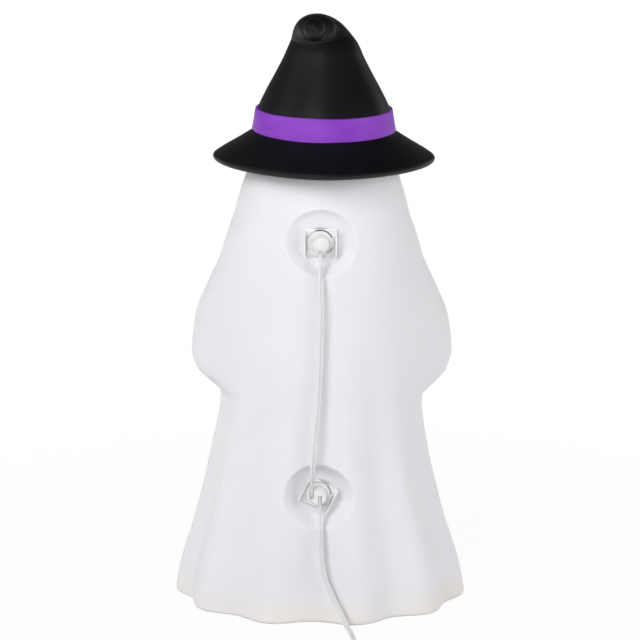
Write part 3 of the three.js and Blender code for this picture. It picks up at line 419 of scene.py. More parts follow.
gown = {
    "headSeat": 494,
    "hemHalfWidth": 150,
    "hemHalfDepth": 110.5,
    "up": (0, 0.061, 0.174, 0.306, 0.415, 0.587, 0.729, 0.844, 0.911),
    "wide": (0.975, 0.943, 0.837, 0.74, 0.683, 0.66, 0.643, 0.57, 0.503),
    "deep": (1, 0.973, 0.923, 0.878, 0.846, 0.805, 0.756, 0.665, 0.584),
    "squareness": 2.12,
    "shoulderHeight": 430,
    "headFoot": 480,
    "upperBodyX": -2,
    "waist": (140, 240),
    "hemWidth": 8,
    "hemRounding": 3.2,
    "hemRise": 1.4,  # the rounding is higher than it is wide
    "hemInside": ((9.2, 11.4), (6, 9.9), (3, 8.6), (1, 8.0), (0.25, 7.7), (0, 7.1), (0, 5.2)),  # height, inset
    "firstRow": 2.2,  # above the rounding
    "smoothFrom": 5,  # inset from which the skin is even
    "floorPanel": 10,
    "wall": 2.4,
    "columns": 232,
    "rowStep": 3.4,
    "partingLine": 0.35,  # height of the mould's parting line on both sides
    "partingWidth": 1.1,
    "unevenness": 0.25,
    "patchMargin": 1.3,
}
folds = {"count": 11, "depthAtHem": 5.5, "unevenness": 0.2, "top": 335, "phase": -0.6, "drift": -0.7}
sleeves = {
    "reach": 39,
    "up": (0.415, 0.443, 0.4615, 0.482, 0.514, 0.591, 0.658, 0.733, 0.82),
    "out": (0, 0.04, 0.49, 0.86, 1, 0.9, 0.577, 0.19, 0),
    "rightDrop": 3,
    "middle": 108,  # degrees from straight behind
    "spread": 36,
    "forward": 0.35,
}
hat = {
    "centreX": -4,
    "depthRatio": 0.86,
    "lean": 0.013,
    "wall": 2.45,
    "coneFoot": 490,
    "coneHeight": 91,
    "coneHalfWidth": 71.8,
    "coneUp": (0, 0.077, 0.253, 0.429, 0.78, 1),
    "coneWide": (1, 0.974, 0.922, 0.819, 0.585, 0.464),
    "brim": ((0.927, 0.268), (0.816, 0.53), (0.709, 0.80)),
    "brimThickness": 3,
    "beadRadius": 4,
    "brimHalfWidth": 112.2,
    "beadHeight": 462.4,
    "brimSquareness": 1.75,
    "tipBend": (0, 28, 52, 72, 84),
    "tipNear": (0.004, 0.045, 0.068, 0.08, 0.087),
    "tipFar": (1.012, 0.82, 0.628, 0.532, 0.489),
    "tipWide": (0.986, 0.775, 0.6, 0.51, 0.378),
    "tipShift": (0.012, 0.132, 0.216, 0.24, 0.285),
    "nubRadius": 10.8,
    "nubLength": 13,
    "dimpleRadius": 2.4,
    "dimpleDepth": 0.7,
    "creaseDepth": 1.6,
    "sides": 120,
    "headClear": 0.45,
    "seatRise": 0.132,  # of the cone's height
    "crownRise": 0.242,
    "hollow": (0.84, 0.89),
    "coneRings": (0, 0.09, 0.25, 0.43, 0.62, 0.81, 0.93),
    "tipRings": (0, 14, 28, 41, 54, 66, 77, 84),
}
dish = {
    "radius": 35,
    "outsideSlope": 2.6,
    "heightShare": 0.94,  # of the rim, which is lower than it is wide
    "aside": {"upper": (-0.9, 0.3), "lower": (0, -0.3)},  # the rim's middle from the lamp's
    "floorRadius": 21,
    "depth": 11,
    "holeRadius": 13.5,
    "rimRounding": 3.0,
    "rings": (41.4, 39.8, 38.6, 37.6, 36.8, 36.2, 35.6, 35, 34.3, 33.4, 32.2, 30.6, 28.6, 26.6, 24.6, 22.8, 21.4, 20,
              17, 13.5),
}
notch = {"turn": 296, "width": 0.7, "depth": 2.6, "height": 7}  # where the mould nipped the hem
face = {
    "eyeSpacing": 56,
    "eye": (402, 13, 20, 3),  # height, half width, half height, sink
    "mouth": (352, 14, 18, 1.4),
    "depth": 4.5,
    "fullness": 0.7,
    "outsideSlope": 40,
    "tilt": -9,
    "rimRounding": 1.0,
    "rings": (1.1, 1.07, 1.045, 1.02, 1.0, 0.98, 0.955, 0.92, 0.87, 0.8, 0.7, 0.58, 0.44, 0.3, 0.15),
    "paintTo": 0.94,
}

coneShare = throughStations(hat["coneUp"], hat["coneWide"])
crownRise = hat["crownRise"] * hat["coneHeight"]


def hatHalfWidth(z):
    return hat["coneHalfWidth"] * coneShare((z - hat["coneFoot"]) / hat["coneHeight"])


def headHalfWidth(z):
    return hatHalfWidth(z) - hat["wall"] - hat["headClear"]


headShares = [float(headHalfWidth(gown["headSeat"])) / gown["hemHalfWidth"]] * 2
headDeep = [s * hat["depthRatio"] * gown["hemHalfWidth"] / gown["hemHalfDepth"] for s in headShares]
bodyUp = (*gown["up"], gown["headFoot"] / gown["headSeat"], 1.0)
bodyWide = throughStations(bodyUp, (*gown["wide"], *headShares))
bodyDeep = throughStations(bodyUp, (*gown["deep"], *headDeep))
sleeveOut = throughStations(sleeves["up"], sleeves["out"])


def gownHalfWidth(z):
    z = np.asarray(z, float)
    return np.where(z > gown["headSeat"], headHalfWidth(z), gown["hemHalfWidth"] * bodyWide(z / gown["headSeat"]))


def gownHalfDepth(z):
    z = np.asarray(z, float)
    crown = hat["depthRatio"] * headHalfWidth(z)
    return np.where(z > gown["headSeat"], crown, gown["hemHalfDepth"] * bodyDeep(z / gown["headSeat"]))


def foldHeight(z, turn):
    fade = np.clip(1 - z / folds["top"], 0, 1) ** 1.3
    uneven = 1 + folds["unevenness"] * np.sin(3 * turn + 2)
    wave = np.cos(folds["count"] * turn + folds["phase"] + folds["drift"] * np.sin(turn))
    return -folds["depthAtHem"] * fade * uneven * wave


def sleeveAt(z, turn):
    fromBack = np.abs(np.degrees(np.arctan2(np.sin(turn), np.cos(turn))))
    height = np.where(np.sin(turn) < 0, z + sleeves["rightDrop"], z)
    bump = np.exp(-(((fromBack - sleeves["middle"]) / sleeves["spread"]) ** 2))
    return sleeves["reach"] * sleeveOut(height / gown["headSeat"]) * bump


def drapedPoint(z, turn, inset):
    z, turn = np.broadcast_arrays(np.asarray(z, float), np.asarray(turn, float))
    sine, cosine = np.sin(turn), np.cos(turn)
    hatShare = ease(gown["shoulderHeight"], gown["headFoot"], z)
    power = 2 / (gown["squareness"] + (2 - gown["squareness"]) * hatShare)
    across = np.sign(sine) * np.abs(sine) ** power
    depth = np.sign(cosine) * np.abs(cosine) ** power
    sleeve, fold = sleeveAt(z, turn), foldHeight(z, turn)
    upper = gown["upperBodyX"]
    middleX = upper * ease(*gown["waist"], z) + (hat["centreX"] - upper) * hatShare
    x = (gownHalfWidth(z) + sleeve - inset) * across + fold * sine
    y = (gownHalfDepth(z) - inset) * depth - sleeve * sleeves["forward"] + fold * cosine
    return np.stack([x + middleX, y, z + hat["lean"] * x * hatShare], -1)


hemRing = drapedPoint(1.5, fullTurn(66), 0)
hemMiddle = (hemRing.min(0) + hemRing.max(0)) / 2 * (1, 1, 0)


def gownPoint(z, turn, inset=0):
    shift = ease(0, gown["waist"][1], z) - 1
    return drapedPoint(z, turn, inset) + hemMiddle * np.asarray(shift)[..., None]


def skinY(x, z, side):
    # how far back (side 1) or forward (side -1) the skin lies at a sideways place
    x, z = np.broadcast_arrays(np.asarray(x, float), np.asarray(z, float))
    turn = np.full(x.shape, 0.0 if side > 0 else math.pi)
    for _ in range(14):
        turn = turn + side * (x - gownPoint(z, turn)[..., 0]) / gownHalfWidth(z)
    return gownPoint(z, turn)[..., 1]


lampPlaces = {"upper": (-0.5, 390), "lower": (1.5, 132)}
lampBacks = {name: float(skinY(x, z, 1)) for name, (x, z) in lampPlaces.items()}


def softLesser(a, b, rounding):
    # the lesser of two heights, with a round where they cross
    h = np.clip(0.5 + 0.5 * (b - a) / rounding, 0, 1)
    return b + (a - b) * h - rounding * h * (1 - h)


def dishSway(name, r):
    # how far a ring of the dish lies aside and up, and its height for a width of 1; the hole is round
    s = np.clip((r - dish["holeRadius"]) / (dish["radius"] - dish["holeRadius"]), 0, 1)
    aside, up = dish["aside"][name]
    return aside * s, up * s, 1 - (1 - dish["heightShare"]) * s


def dishedBack(x, z, name):
    lampX, lampZ = lampPlaces[name]
    aside, up, high = dishSway(name, np.hypot(x - lampX, z - lampZ))
    r = np.hypot(x - lampX - aside, (z - lampZ - up) / high)
    skin = skinY(x, z, 1)
    outer, floorR, deep = dish["radius"], dish["floorRadius"], dish["depth"]
    s = np.clip((outer - r) / (outer - floorR), 0, 1)
    bowl = deep * np.sin(s * math.pi / 2)
    bowl = np.where(r > outer, -(r - outer) * dish["outsideSlope"], bowl)
    follow = ease(floorR, outer, r)  # the rim follows the curved back, the floor is flat
    base = lampBacks[name] * (1 - follow) + skin * follow
    return softLesser(skin, base - bowl, dish["rimRounding"])


def bowledFront(x, z, centre, size):
    height, halfWide, halfHigh, sink = size
    s = np.hypot((x - centre) / halfWide, (z - height) / halfHigh)
    skin = skinY(x, z, -1)
    plane = float(skinY(centre, height, -1)) + sink + (z - height) * math.tan(math.radians(-face["tilt"]))
    bowl = face["depth"] * np.cos(np.clip(s, 0, 1) * math.pi / 2) ** face["fullness"]
    bowl = np.where(s < 1, bowl, -(s - 1) * face["outsideSlope"])
    return -softLesser(-skin, -(plane + bowl), face["rimRounding"])


def gownRows():
    # every row is (kind, height or share, inset or degrees), from the floor panel to the crown
    rows = [("panel", share, 0) for share in (0.3, 0.55, 0.78, 1)]
    rows += [("wall", height, inset) for height, inset in gown["hemInside"]]
    rounding, rise = gown["hemRounding"], gown["hemRise"]
    for degrees in range(0, 91, 18):
        a = math.radians(degrees)
        rows.append(("wall", rise * (rounding - rounding * math.cos(a)), rounding - rounding * math.sin(a)))
    body = np.arange(rise * rounding + gown["firstRow"], gown["headSeat"], gown["rowStep"])
    rows += [("wall", float(z), 0) for z in body]
    seatTop = gown["headSeat"] + hat["seatRise"] * hat["coneHeight"]
    rows += [("wall", float(z), 0) for z in np.linspace(gown["headSeat"], seatTop, 5)]
    rows += [("crown", seatTop, degrees) for degrees in (8, 18, 28, 38, 48, 58, 68, 76, 84)]
    return rows


def hatPoint(halfWidth, z, turn, squareness=2.0):
    sine, cosine, power = np.sin(turn), np.cos(turn), 2 / squareness
    x = halfWidth * np.sign(sine) * np.abs(sine) ** power
    y = hat["depthRatio"] * halfWidth * np.sign(cosine) * np.abs(cosine) ** power
    z = np.broadcast_to(np.asarray(z, float), np.shape(x))
    return np.stack([hat["centreX"] + x, y, z + hat["lean"] * x], -1)


def gownTurns():
    even = np.arange(gown["columns"]) / gown["columns"] * 360
    close = [side + off for side in (90, 270) for off in (-0.55, -0.28, 0, 0.28, 0.55)]
    close += [notch["turn"] + off * notch["width"] for off in (-1.6, -0.8, 0, 0.8, 1.6)]
    kept = [t for t in even if min(abs(t - 90), abs(t - 270), abs(t - notch["turn"]) - 0.8) > 0.75]
    return np.radians(np.array(sorted([*kept, *close])))


def unevenSkin(points, turn):
    # slow waves that any blown skin has, and the raised parting line on both sides
    x, y, z = points[..., 0], points[..., 1], points[..., 2]
    outward = np.stack([np.sin(turn), np.cos(turn) * 1.2, np.zeros_like(turn)], -1)
    waves = np.sin(x / 23 + z / 31) * np.sin(z / 19 - x / 37) + 0.6 * np.sin(z / 11 + x / 29 + 1.3)
    fromSide = np.minimum(np.abs(turn - math.pi / 2), np.abs(turn - 1.5 * math.pi)) * np.hypot(x, y)
    line = np.exp(-((fromSide / gown["partingWidth"]) ** 2)) * gown["partingLine"]
    line = line * ease(0, 3, z)
    fade = ease(0, 12, z) * (1 - ease(gown["headFoot"] - 20, gown["headFoot"], z))
    return points + outward * (waves * gown["unevenness"] * fade * 0.5 + line)[..., None]


def gownRings(rows, turn):
    panel = gownPoint(gown["floorPanel"], turn, gown["hemWidth"] + 4)
    nip = notch["depth"] * np.exp(-(((np.degrees(turn) - notch["turn"]) / notch["width"]) ** 2))
    rings = []
    for kind, height, last in rows:
        if kind == "panel":
            rings.append(panel * (height, height, 1))
        elif kind == "wall":
            ring = gownPoint(height, turn, last)
            ring[:, 2] += nip * (1 - float(ease(0, notch["height"], height)))
            rings.append(unevenSkin(ring, turn) if last < gown["smoothFrom"] else ring)
        else:
            a = math.radians(last)
            halfWidth = float(headHalfWidth(height)) * math.cos(a)
            rings.append(hatPoint(halfWidth, height + crownRise * math.sin(a), turn))
    return np.array(rings)


def makeGown():
    turn = gownTurns()
    columns = len(turn)
    rows = gownRows()
    grid = gownRings(rows, turn)
    count = len(grid)
    heights = [height if kind == "wall" and inset == 0 else -1 for kind, height, inset in rows]
    points = [tuple(p) for p in grid.reshape(-1, 3)]
    skip, faces, paint = set(), [], set()

    def join(inner, outer, painted):
        # a ring of faces between two loops of points, or to a single point
        for i in range(len(outer)):
            j = (i + 1) % len(outer)
            faces.append((outer[i], outer[j], *((inner[j], inner[i]) if len(inner) > 1 else inner)))
            if painted:
                paint.add(len(faces) - 1)

    def patch(centreX, centreZ, rimX, rimZ, side, shares, surface, sway=None, paintTo=0):
        # a square of the grid is taken out and filled with rings that close in on a round rim
        # a dish has a sway and stays open in the middle, a bowl of the face is closed and painted
        rowIds = [i for i, h in enumerate(heights) if h > 0 and abs(h - centreZ) <= rimZ * gown["patchMargin"]]
        low, high = rowIds[0], rowIds[-1]
        row = grid[(low + high) // 2]
        start = min(range(columns), key=lambda c: abs(row[c][0] - centreX) + (0 if row[c][1] * side > 0 else 1e3))
        ends = []
        for step in (-1, 1):
            column = start
            while abs(row[column % columns][0] - centreX) < rimX * gown["patchMargin"]:
                column += step
            ends.append(column)
        left, right = ends
        skip.update((r, c % columns) for r in range(low, high) for c in range(left, right))
        loop = [(low, c) for c in range(left, right)] + [(r, right) for r in range(low, high)]
        loop += [(high, c) for c in range(right, left, -1)] + [(r, left) for r in range(high, low, -1)]
        previous = [r * columns + c % columns for r, c in loop]
        edge = np.array([points[i] for i in previous])
        angle = np.arctan2((edge[:, 2] - centreZ) / rimZ, (edge[:, 0] - centreX) / rimX)
        flat = np.stack([edge[:, 0], edge[:, 2]], 1)
        around = []
        for share in shares:
            aside, up, tall = sway(share * rimX) if sway else (0, 0, 1)
            x = centreX + aside + rimX * share * np.cos(angle)
            around.append(np.stack([x, centreZ + up + rimZ * share * tall * np.sin(angle)], 1))
        blends = (0.25, 0.5, 0.75)
        loops = [flat * (1 - s) + around[0] * s for s in blends] + around
        raised = edge[:, 1] - skinY(edge[:, 0], edge[:, 2], side)
        for k, ring in enumerate(loops):
            y = surface(ring[:, 0], ring[:, 1])
            if k < len(blends):  # runs into the uneven skin around it
                y = y + raised * (1 - blends[k])
            here = list(range(len(points), len(points) + len(ring)))
            points.extend((x, yy, z) for (x, z), yy in zip(ring, y))
            join(here, previous, k >= len(blends) and shares[k - len(blends)] <= paintTo)
            previous = here
        if not sway:
            points.append((centreX, float(surface(np.array([centreX]), np.array([centreZ]))[0]), centreZ))
            join([len(points) - 1], previous, True)

    outer = dish["radius"]
    for name, (x, z) in lampPlaces.items():
        patch(x, z, outer, outer, 1, [r / outer for r in dish["rings"]], lambda a, b: dishedBack(a, b, name),
              lambda r: dishSway(name, r))
    middle, aside = gown["upperBodyX"], face["eyeSpacing"] / 2
    for x, size in ((middle - aside, face["eye"]), (middle + aside, face["eye"]), (middle, face["mouth"])):
        patch(x, *size[:3], -1, face["rings"], lambda a, b: bowledFront(a, b, x, size), paintTo=face["paintTo"])
    for r in range(count - 1):
        for c in range(columns):
            if (r, c) not in skip:
                here, there, j = r * columns, (r + 1) * columns, (c + 1) % columns
                faces.append((here + c, here + j, there + j, there + c))
    points.append((0, 0, gown["floorPanel"]))
    faces += [(len(points) - 1, (c + 1) % columns, c) for c in range(columns)]
    points.append(tuple(hatPoint(0.0, rows[-1][1] + crownRise, np.zeros(1))[0]))
    last = (count - 1) * columns
    faces += [(len(points) - 1, last + c, last + (c + 1) % columns) for c in range(columns)]

    used = sorted({i for f in faces for i in f})
    renumber = {old: new for new, old in enumerate(used)}
    piece = addMesh("ghostGown", [points[i] for i in used], [[renumber[i] for i in f] for f in faces], "gown face",
                    "gown", "gown_skin", ["gown_shell"], sharpFrom=None, second=paint)
    wall = piece.modifiers.new("mouldedWall", "SOLIDIFY")
    wall.thickness = gown["wall"] * mm
    wall.offset = -1


# hat

def alongRings(rings, steps):
    # more rings between the given ones, on a smooth curve through each column
    rings = np.asarray(rings, float)
    gaps = np.maximum(np.linalg.norm(np.diff(rings, axis=0), axis=2).mean(1), 1e-3) ** 0.6
    at = np.concatenate([[0], np.cumsum(gaps)])
    speed = np.diff(rings, axis=0) / np.diff(at)[:, None, None]
    slope = np.empty_like(rings)
    slope[0], slope[-1] = speed[0], speed[-1]
    for i in range(1, len(at) - 1):
        a, b = at[i] - at[i - 1], at[i + 1] - at[i]
        slope[i] = (speed[i - 1] * b + speed[i] * a) / (a + b)
    result = []
    for i in range(len(at) - 1):
        h = at[i + 1] - at[i]
        for k in range(steps):
            s = k / steps
            result.append((1 + 2 * s) * (1 - s) ** 2 * rings[i] + s * (1 - s) ** 2 * h * slope[i]
                          + s * s * (3 - 2 * s) * rings[i + 1] + s * s * (s - 1) * h * slope[i + 1])
    result.append(rings[-1])
    return np.array(result)


def makeHat():
    turn = fullTurn(hat["sides"])
    foot, rise = hat["coneFoot"], hat["coneHeight"]
    beadHeight, beadRadius = hat["beadHeight"], hat["beadRadius"]
    place = lambda share: foot + rise * share
    inside = lambda z: float(hatHalfWidth(z)) - hat["wall"]

    def brimRing(station, drop):
        wide, up = station
        height = beadHeight + (foot - beadHeight) * up
        squareness = hat["brimSquareness"] + (2 - hat["brimSquareness"]) * up
        return hatPoint(hat["brimHalfWidth"] * wide - drop / 4, height - drop, turn, squareness)

    seat = gown["headSeat"]
    seatTop = seat + hat["seatRise"] * rise
    hollowWide, hollowEnd = inside(place(hat["hollow"][0])), place(hat["hollow"][1])
    inner = [hatPoint(hollowWide * 0.3, hollowEnd + 0.8, turn), hatPoint(hollowWide * 0.6, hollowEnd, turn)]
    inner += [hatPoint(inside(place(s)), place(s), turn) for s in (0.77, 0.52, 0.25)]
    inner += [hatPoint(inside(z), z, turn) for z in (seatTop, (seatTop + seat) / 2, seat)]
    inner += [brimRing(station, hat["brimThickness"] + 1) for station in reversed(hat["brim"])]
    bead = []
    middle = hat["brimHalfWidth"] - beadRadius
    for a in np.radians(np.arange(-150, 61, 15)):
        height = beadHeight + beadRadius * math.sin(a)
        bead.append(hatPoint(middle + beadRadius * math.cos(a), height, turn, hat["brimSquareness"]))
    top = [brimRing(station, 0) for station in hat["brim"]]
    top += [hatPoint(float(hatHalfWidth(place(s))), place(s), turn) for s in hat["coneRings"]]

    # the tip bends back around a crease
    crease = place(1)
    creaseHalf = float(hatHalfWidth(crease))
    creaseDeep = 2 * hat["depthRatio"] * creaseHalf
    creaseY = creaseDeep * (0.5 + hat["tipNear"][0])
    tipCurves = [throughStations(hat["tipBend"], hat[key]) for key in ("tipNear", "tipFar", "tipWide", "tipShift")]
    tip = []
    for bend in hat["tipRings"]:
        near, far, wide, shift = (float(curve(bend)) for curve in tipCurves)
        a = math.radians(bend)
        out = creaseDeep * (near + (far - near) / 2 * (1 - np.cos(turn)))
        x = creaseHalf * (shift + wide * np.sin(turn))
        z = crease + out * math.sin(a) + hat["lean"] * x
        tip.append(np.stack([hat["centreX"] + x, creaseY - out * math.cos(a), z], -1))
    tip[0][:, 1] -= hat["creaseDepth"] * np.clip(np.cos(turn), 0, 1) ** 1.3

    # the nub stands on the tip's end, in its last direction
    centreOut = creaseDeep * (hat["tipNear"][-1] + hat["tipFar"][-1]) / 2
    centre = np.array([hat["centreX"] + creaseHalf * hat["tipShift"][-1],
                       creaseY - centreOut * math.cos(a), crease + centreOut * math.sin(a)])
    outward = np.array([0, math.sin(a), math.cos(a)])
    upward = np.array([0, -math.cos(a), math.sin(a)])

    def nubRing(radius, distance):
        across = np.stack([radius * np.sin(turn), 0 * turn, 0 * turn], -1)
        return centre + outward * distance + across - radius * np.cos(turn)[:, None] * upward

    radius, length, dent, dentDeep = hat["nubRadius"], hat["nubLength"], hat["dimpleRadius"], hat["dimpleDepth"]
    dome = radius * 0.85
    nub = [nubRing(radius + grow, distance) for grow, distance in
           ((0.5, 0.5), (0.2, -0.6), (0.1, 0.9), (0.3, length - dome - 1))]  # a small groove at its foot
    for b in np.radians((10, 25, 40, 55, 68)):
        nub.append(nubRing(radius * math.cos(b), length - dome * (1 - math.sin(b))))
    nub += [nubRing(dent * wide, length - deep) for wide, deep in
            ((1, 0.15), (0.75, dentDeep * 0.5), (0.4, dentDeep))]
    rings = [alongRings(inner, 3), bead, alongRings([bead[-1], *top, *tip], 5)[1:], alongRings([tip[-1], *nub], 2)[1:]]
    points, faces = loft(np.concatenate(rings), start=hatPoint(0.0, hollowEnd + 1.5, np.zeros(1))[0],
                         end=centre + outward * (length - dentDeep - 0.1))
    addMesh("witchHat", points, faces, "hat", "hat", "hat_black", ["hat_shell"], sharpFrom=70)


band = {
    "foot": 0.011,  # of the cone's height
    "head": 0.247,
    "thickness": 2.5,
    "gap": 0.15,
    "rounding": 0.8,
    "wander": 0.25,
    "sag": 1.7,
    "tuck": 1.3,
}


def makeBand():
    turn = fullTurn(hat["sides"])
    low = hat["coneFoot"] + band["foot"] * hat["coneHeight"]
    high = hat["coneFoot"] + band["head"] * hat["coneHeight"]
    corner = band["rounding"]
    wander = band["wander"] * (np.sin(3 * turn + 0.4) + 0.6 * np.sin(7 * turn))

    def ring(z, out, edge):
        down = (high - z) / (high - low)
        tuck = band["tuck"] * down if out > band["gap"] else 0
        points = hatPoint(float(hatHalfWidth(z)) + out - tuck, z, turn)
        points[:, 2] += wander * edge - band["sag"] * down * np.abs(np.cos(turn)) ** 1.5
        return points

    thick = band["gap"] + band["thickness"]
    rings = [ring(high, band["gap"], 1), ring((low + high) / 2, band["gap"], 0), ring(low, band["gap"], -0.7)]
    for degrees in (0, 30, 60, 90):
        a = math.radians(degrees)
        rings.append(ring(low + corner - corner * math.cos(a), thick - corner + corner * math.sin(a), -0.7))
    rings += [ring(low + (high - low) * s, thick - 0.15 * math.sin(math.pi * s), 0) for s in (0.3, 0.5, 0.7)]
    for degrees in (0, 30, 60, 90):
        a = math.radians(degrees)
        rings.append(ring(high - corner + corner * math.sin(a), thick - corner + corner * math.cos(a), 1))
    points, faces = loft(rings, closed=True)
    addMesh("hatBand", points, faces, "band", "hat", "band_purple", ["hat_band"], sharpFrom=60)


# lamp holders and bulbs, in the lamp's own frame: +z out of the ghost, 0 on the dish's floor, +y up

lampParts = {
    "seatGap": 0.3,  # between parts that touch
    "turn": {"upper": 0.0, "lower": -27},  # degrees, of plate and barrel
    "plate": (33, 27, 1.6, 1.2),  # width, height, thickness, corner
    "wing": (6, 1.6, 0.5),  # height, thickness, flare
    "plateHole": 12.95,
    "barrel": (8.75, 7.2, -24, -3),  # outer and inner radius, mouth, bore floor
    "rib": (0.6, 4),  # height, half angle
    "flange": (12.1, 1.4),
    "stop": (12.75, {"upper": (112, 300), "lower": (74, 315)}),  # a lip that keys the flange: radius, from, to
    "ear": (14, 24),  # radius, half angle
    "finger": (12.6, 1.2, -8, 20),  # radius, thickness, reach, half angle
    "cap": (9, 8.4, 1.3),  # radius, height, floor under the cord
    # the cap's side, groove and face, as (in from the radius, down from the top)
    "capEdge": ((0, 0.7), (0.1, 0.3), (0.35, 0.1), (0.4, 1.1), (1.1, 1.1), (1.15, 0)),
    "ledge": ((4.15, 4.2), (5.5, 4.2), (5.5, -4.4), (4.1, -6.05), (-3.6, -6.05), (-3.6, -5.25), (4.15, -5.25)),
    "slotHalf": 1.7,
    "cordSlots": {"upper": [(0, -1, -6.5)], "lower": [(-6.6, 1, -2), (1.5, -1, 1)]},  # offset, side, end wall
    "contact": (2.6, 1.2),
    "shell": (0.3, -6.5, -23.5),  # wall, top, bottom
    "base": (5.95, 0.28, -8.3, -24.5),  # radius, wall, top, bottom
    "neck": (5.1, 0.55, 0.9),  # radius, wall, room for the wall
    "glass": ((7.48, -28.5), (10.45, -33.5), (11, -39), (9.46, -46.5), (6.05, -53.2), (0.6, -59)),  # radius, height
    "leadWire": ((1.4, 0, -28), (2.1, 0, -31), (3.0, 0, -36), (4.4, 0, -40.5), (5, 0, -42)),
    "filament": (26, 4.8, 0.26, -41.7, 1.3),  # turns, half length, radius, height, sag
    "thread": (0.35, 2.1, 0.26),  # depth, pitch, step
}


def lampFrame(name, twist=0.0):
    x, z = lampPlaces[name]
    spot = Matrix.Translation((x, lampBacks[name] - dish["depth"], z))
    axes = Matrix(((-1, 0, 0, 0), (0, 0, 1, 0), (0, 1, 0, 0), (0, 0, 0, 1)))
    return spot @ axes @ Matrix.Rotation(math.radians(twist), 4, "Z")


def placed(points, matrix):
    m = np.array(matrix)
    return np.asarray(points, float) @ m[:3, :3].T + m[:3, 3]


def lampMesh(name, part, shape, look, body, slotName, node, twist=0.0, **more):
    points = placed(shape[0], lampFrame(name, twist))
    return addMesh(name + part, points, shape[1], look, f"{name}_{body}", slotName, [f"{name}_{node}"], **more)


def prism(outline, low, high, holes=()):
    # outline and holes are loops of (x, y); filled flat at both ends
    work = bmesh.new()
    for loop in (outline, *holes):
        verts = [work.verts.new((x, y, low)) for x, y in loop]
        for i, v in enumerate(verts):
            work.edges.new((v, verts[(i + 1) % len(verts)]))
    bmesh.ops.triangle_fill(work, use_beauty=True, edges=work.edges[:], normal=(0, 0, 1))
    bmesh.ops.dissolve_limit(work, angle_limit=0.01, verts=work.verts[:], edges=work.edges[:])
    made = bmesh.ops.extrude_face_region(work, geom=work.faces[:])
    top = [v for v in made["geom"] if isinstance(v, bmesh.types.BMVert)]
    bmesh.ops.translate(work, vec=(0, 0, high - low), verts=top)
    work.verts.index_update()
    points = [tuple(v.co) for v in work.verts]
    faces = [tuple(v.index for v in f.verts) for f in work.faces]
    work.free()
    return points, faces


def arc(radius, fromDegrees, toDegrees, steps, centre=(0, 0)):
    at = np.radians(np.linspace(fromDegrees, toDegrees, steps))
    return [(centre[0] + radius * math.cos(a), centre[1] + radius * math.sin(a)) for a in at]


def sector(outer, inner, fromDegrees, toDegrees, steps, low, high):
    return prism(arc(outer, fromDegrees, toDegrees, steps) + arc(inner, toDegrees, fromDegrees, steps), low, high)


def roundedBox(halfWide, halfHigh, corner, centre=(0, 0)):
    outline = []
    for middle, x, y in ((45, 1, 1), (135, -1, 1), (225, -1, -1), (315, 1, -1)):
        spot = (centre[0] + x * (halfWide - corner), centre[1] + y * (halfHigh - corner))
        outline += arc(corner, middle - 45, middle + 45, 4, spot)
    return outline


def joined(*meshes):
    points, faces = [], []
    for p, f in meshes:
        faces += [tuple(i + len(points) for i in face) for face in f]
        points += list(p)
    return points, faces


def makePlate(name, twist):
    wide, high, thick, corner = lampParts["plate"]
    wingHigh, wingThick, flare = lampParts["wing"]
    gap = lampParts["seatGap"]
    top, tip = gap + thick, gap + wingHigh
    half, reach = wide / 2 - flare, high / 2
    hole = arc(lampParts["plateHole"], 0, 355, 72)
    parts = [prism(roundedBox(half, reach, corner), gap, top, [hole])]
    for side in (-1, 1):
        rings = []
        for z, grow in ((gap + 0.2, 0), (top, 0), (gap + wingHigh * 0.6, 0), (tip - 0.5, 0), (tip, -0.4)):
            out = half + flare * (z - gap) / wingHigh
            xs = (side * (out - wingThick), side * out)
            far = reach - 0.25 + grow
            near = -far - 1.2 * (z > top)
            rings.append([(xs[0], near, z), (xs[1], near, z), (xs[1], far, z), (xs[0], far, z)])
        points, faces = loft(rings)
        parts.append((points, [(0, 1, 2, 3), (19, 18, 17, 16), *faces]))
    piece = lampMesh(name, "HolderPlate", joined(*parts), "plate", "lamp", "plate_plastic", "retaining_plate", twist,
                     sharpFrom=35)
    softEdges(piece, 0.22)


def makeBarrel(name, twist):
    outer, bore, mouth, boreFloor = lampParts["barrel"]
    ribHigh, ribHalf = lampParts["rib"]
    flange, flangeThick = lampParts["flange"]
    ear, earHalf = lampParts["ear"]
    finger, fingerThick, reach, half = lampParts["finger"]
    stop, stopTurns = lampParts["stop"]
    low = 2 * lampParts["seatGap"] + lampParts["plate"][2]
    top = low + flangeThick
    profile = [(0, boreFloor), (bore, boreFloor), (bore, mouth), (outer, mouth), (outer, low), (flange, low),
               (flange, top), (0, top)]
    parts = [turned(roundedProfile(profile, 0.35), 64)]
    for middle in (0, 180):
        ends = (middle - half, middle + half, 7)
        parts.append(sector(ear, flange - 1.2, middle - earHalf, middle + earHalf, 9, low + 0.02, top - 0.02))
        parts.append(sector(finger, finger - fingerThick, *ends, reach, low + 0.4))
        parts.append(sector(finger + 0.02, finger - fingerThick, *ends, reach - 0.02, reach + 1.4))
    parts.append(sector(stop, flange - 1, *stopTurns[name], 40, low + 0.1, top - 0.12))
    for middle in (45, 135, 225, 315):
        ends = (middle - ribHalf, middle + ribHalf, 3)
        parts.append(sector(outer + ribHigh, outer - 0.4, *ends, mouth + 3, low - 0.4))
    piece = lampMesh(name, "HolderBarrel", joined(*parts), "holder", "lamp", "holder_plastic", "holder_barrel", twist,
                     sharpFrom=35)
    softEdges(piece, 0.12)


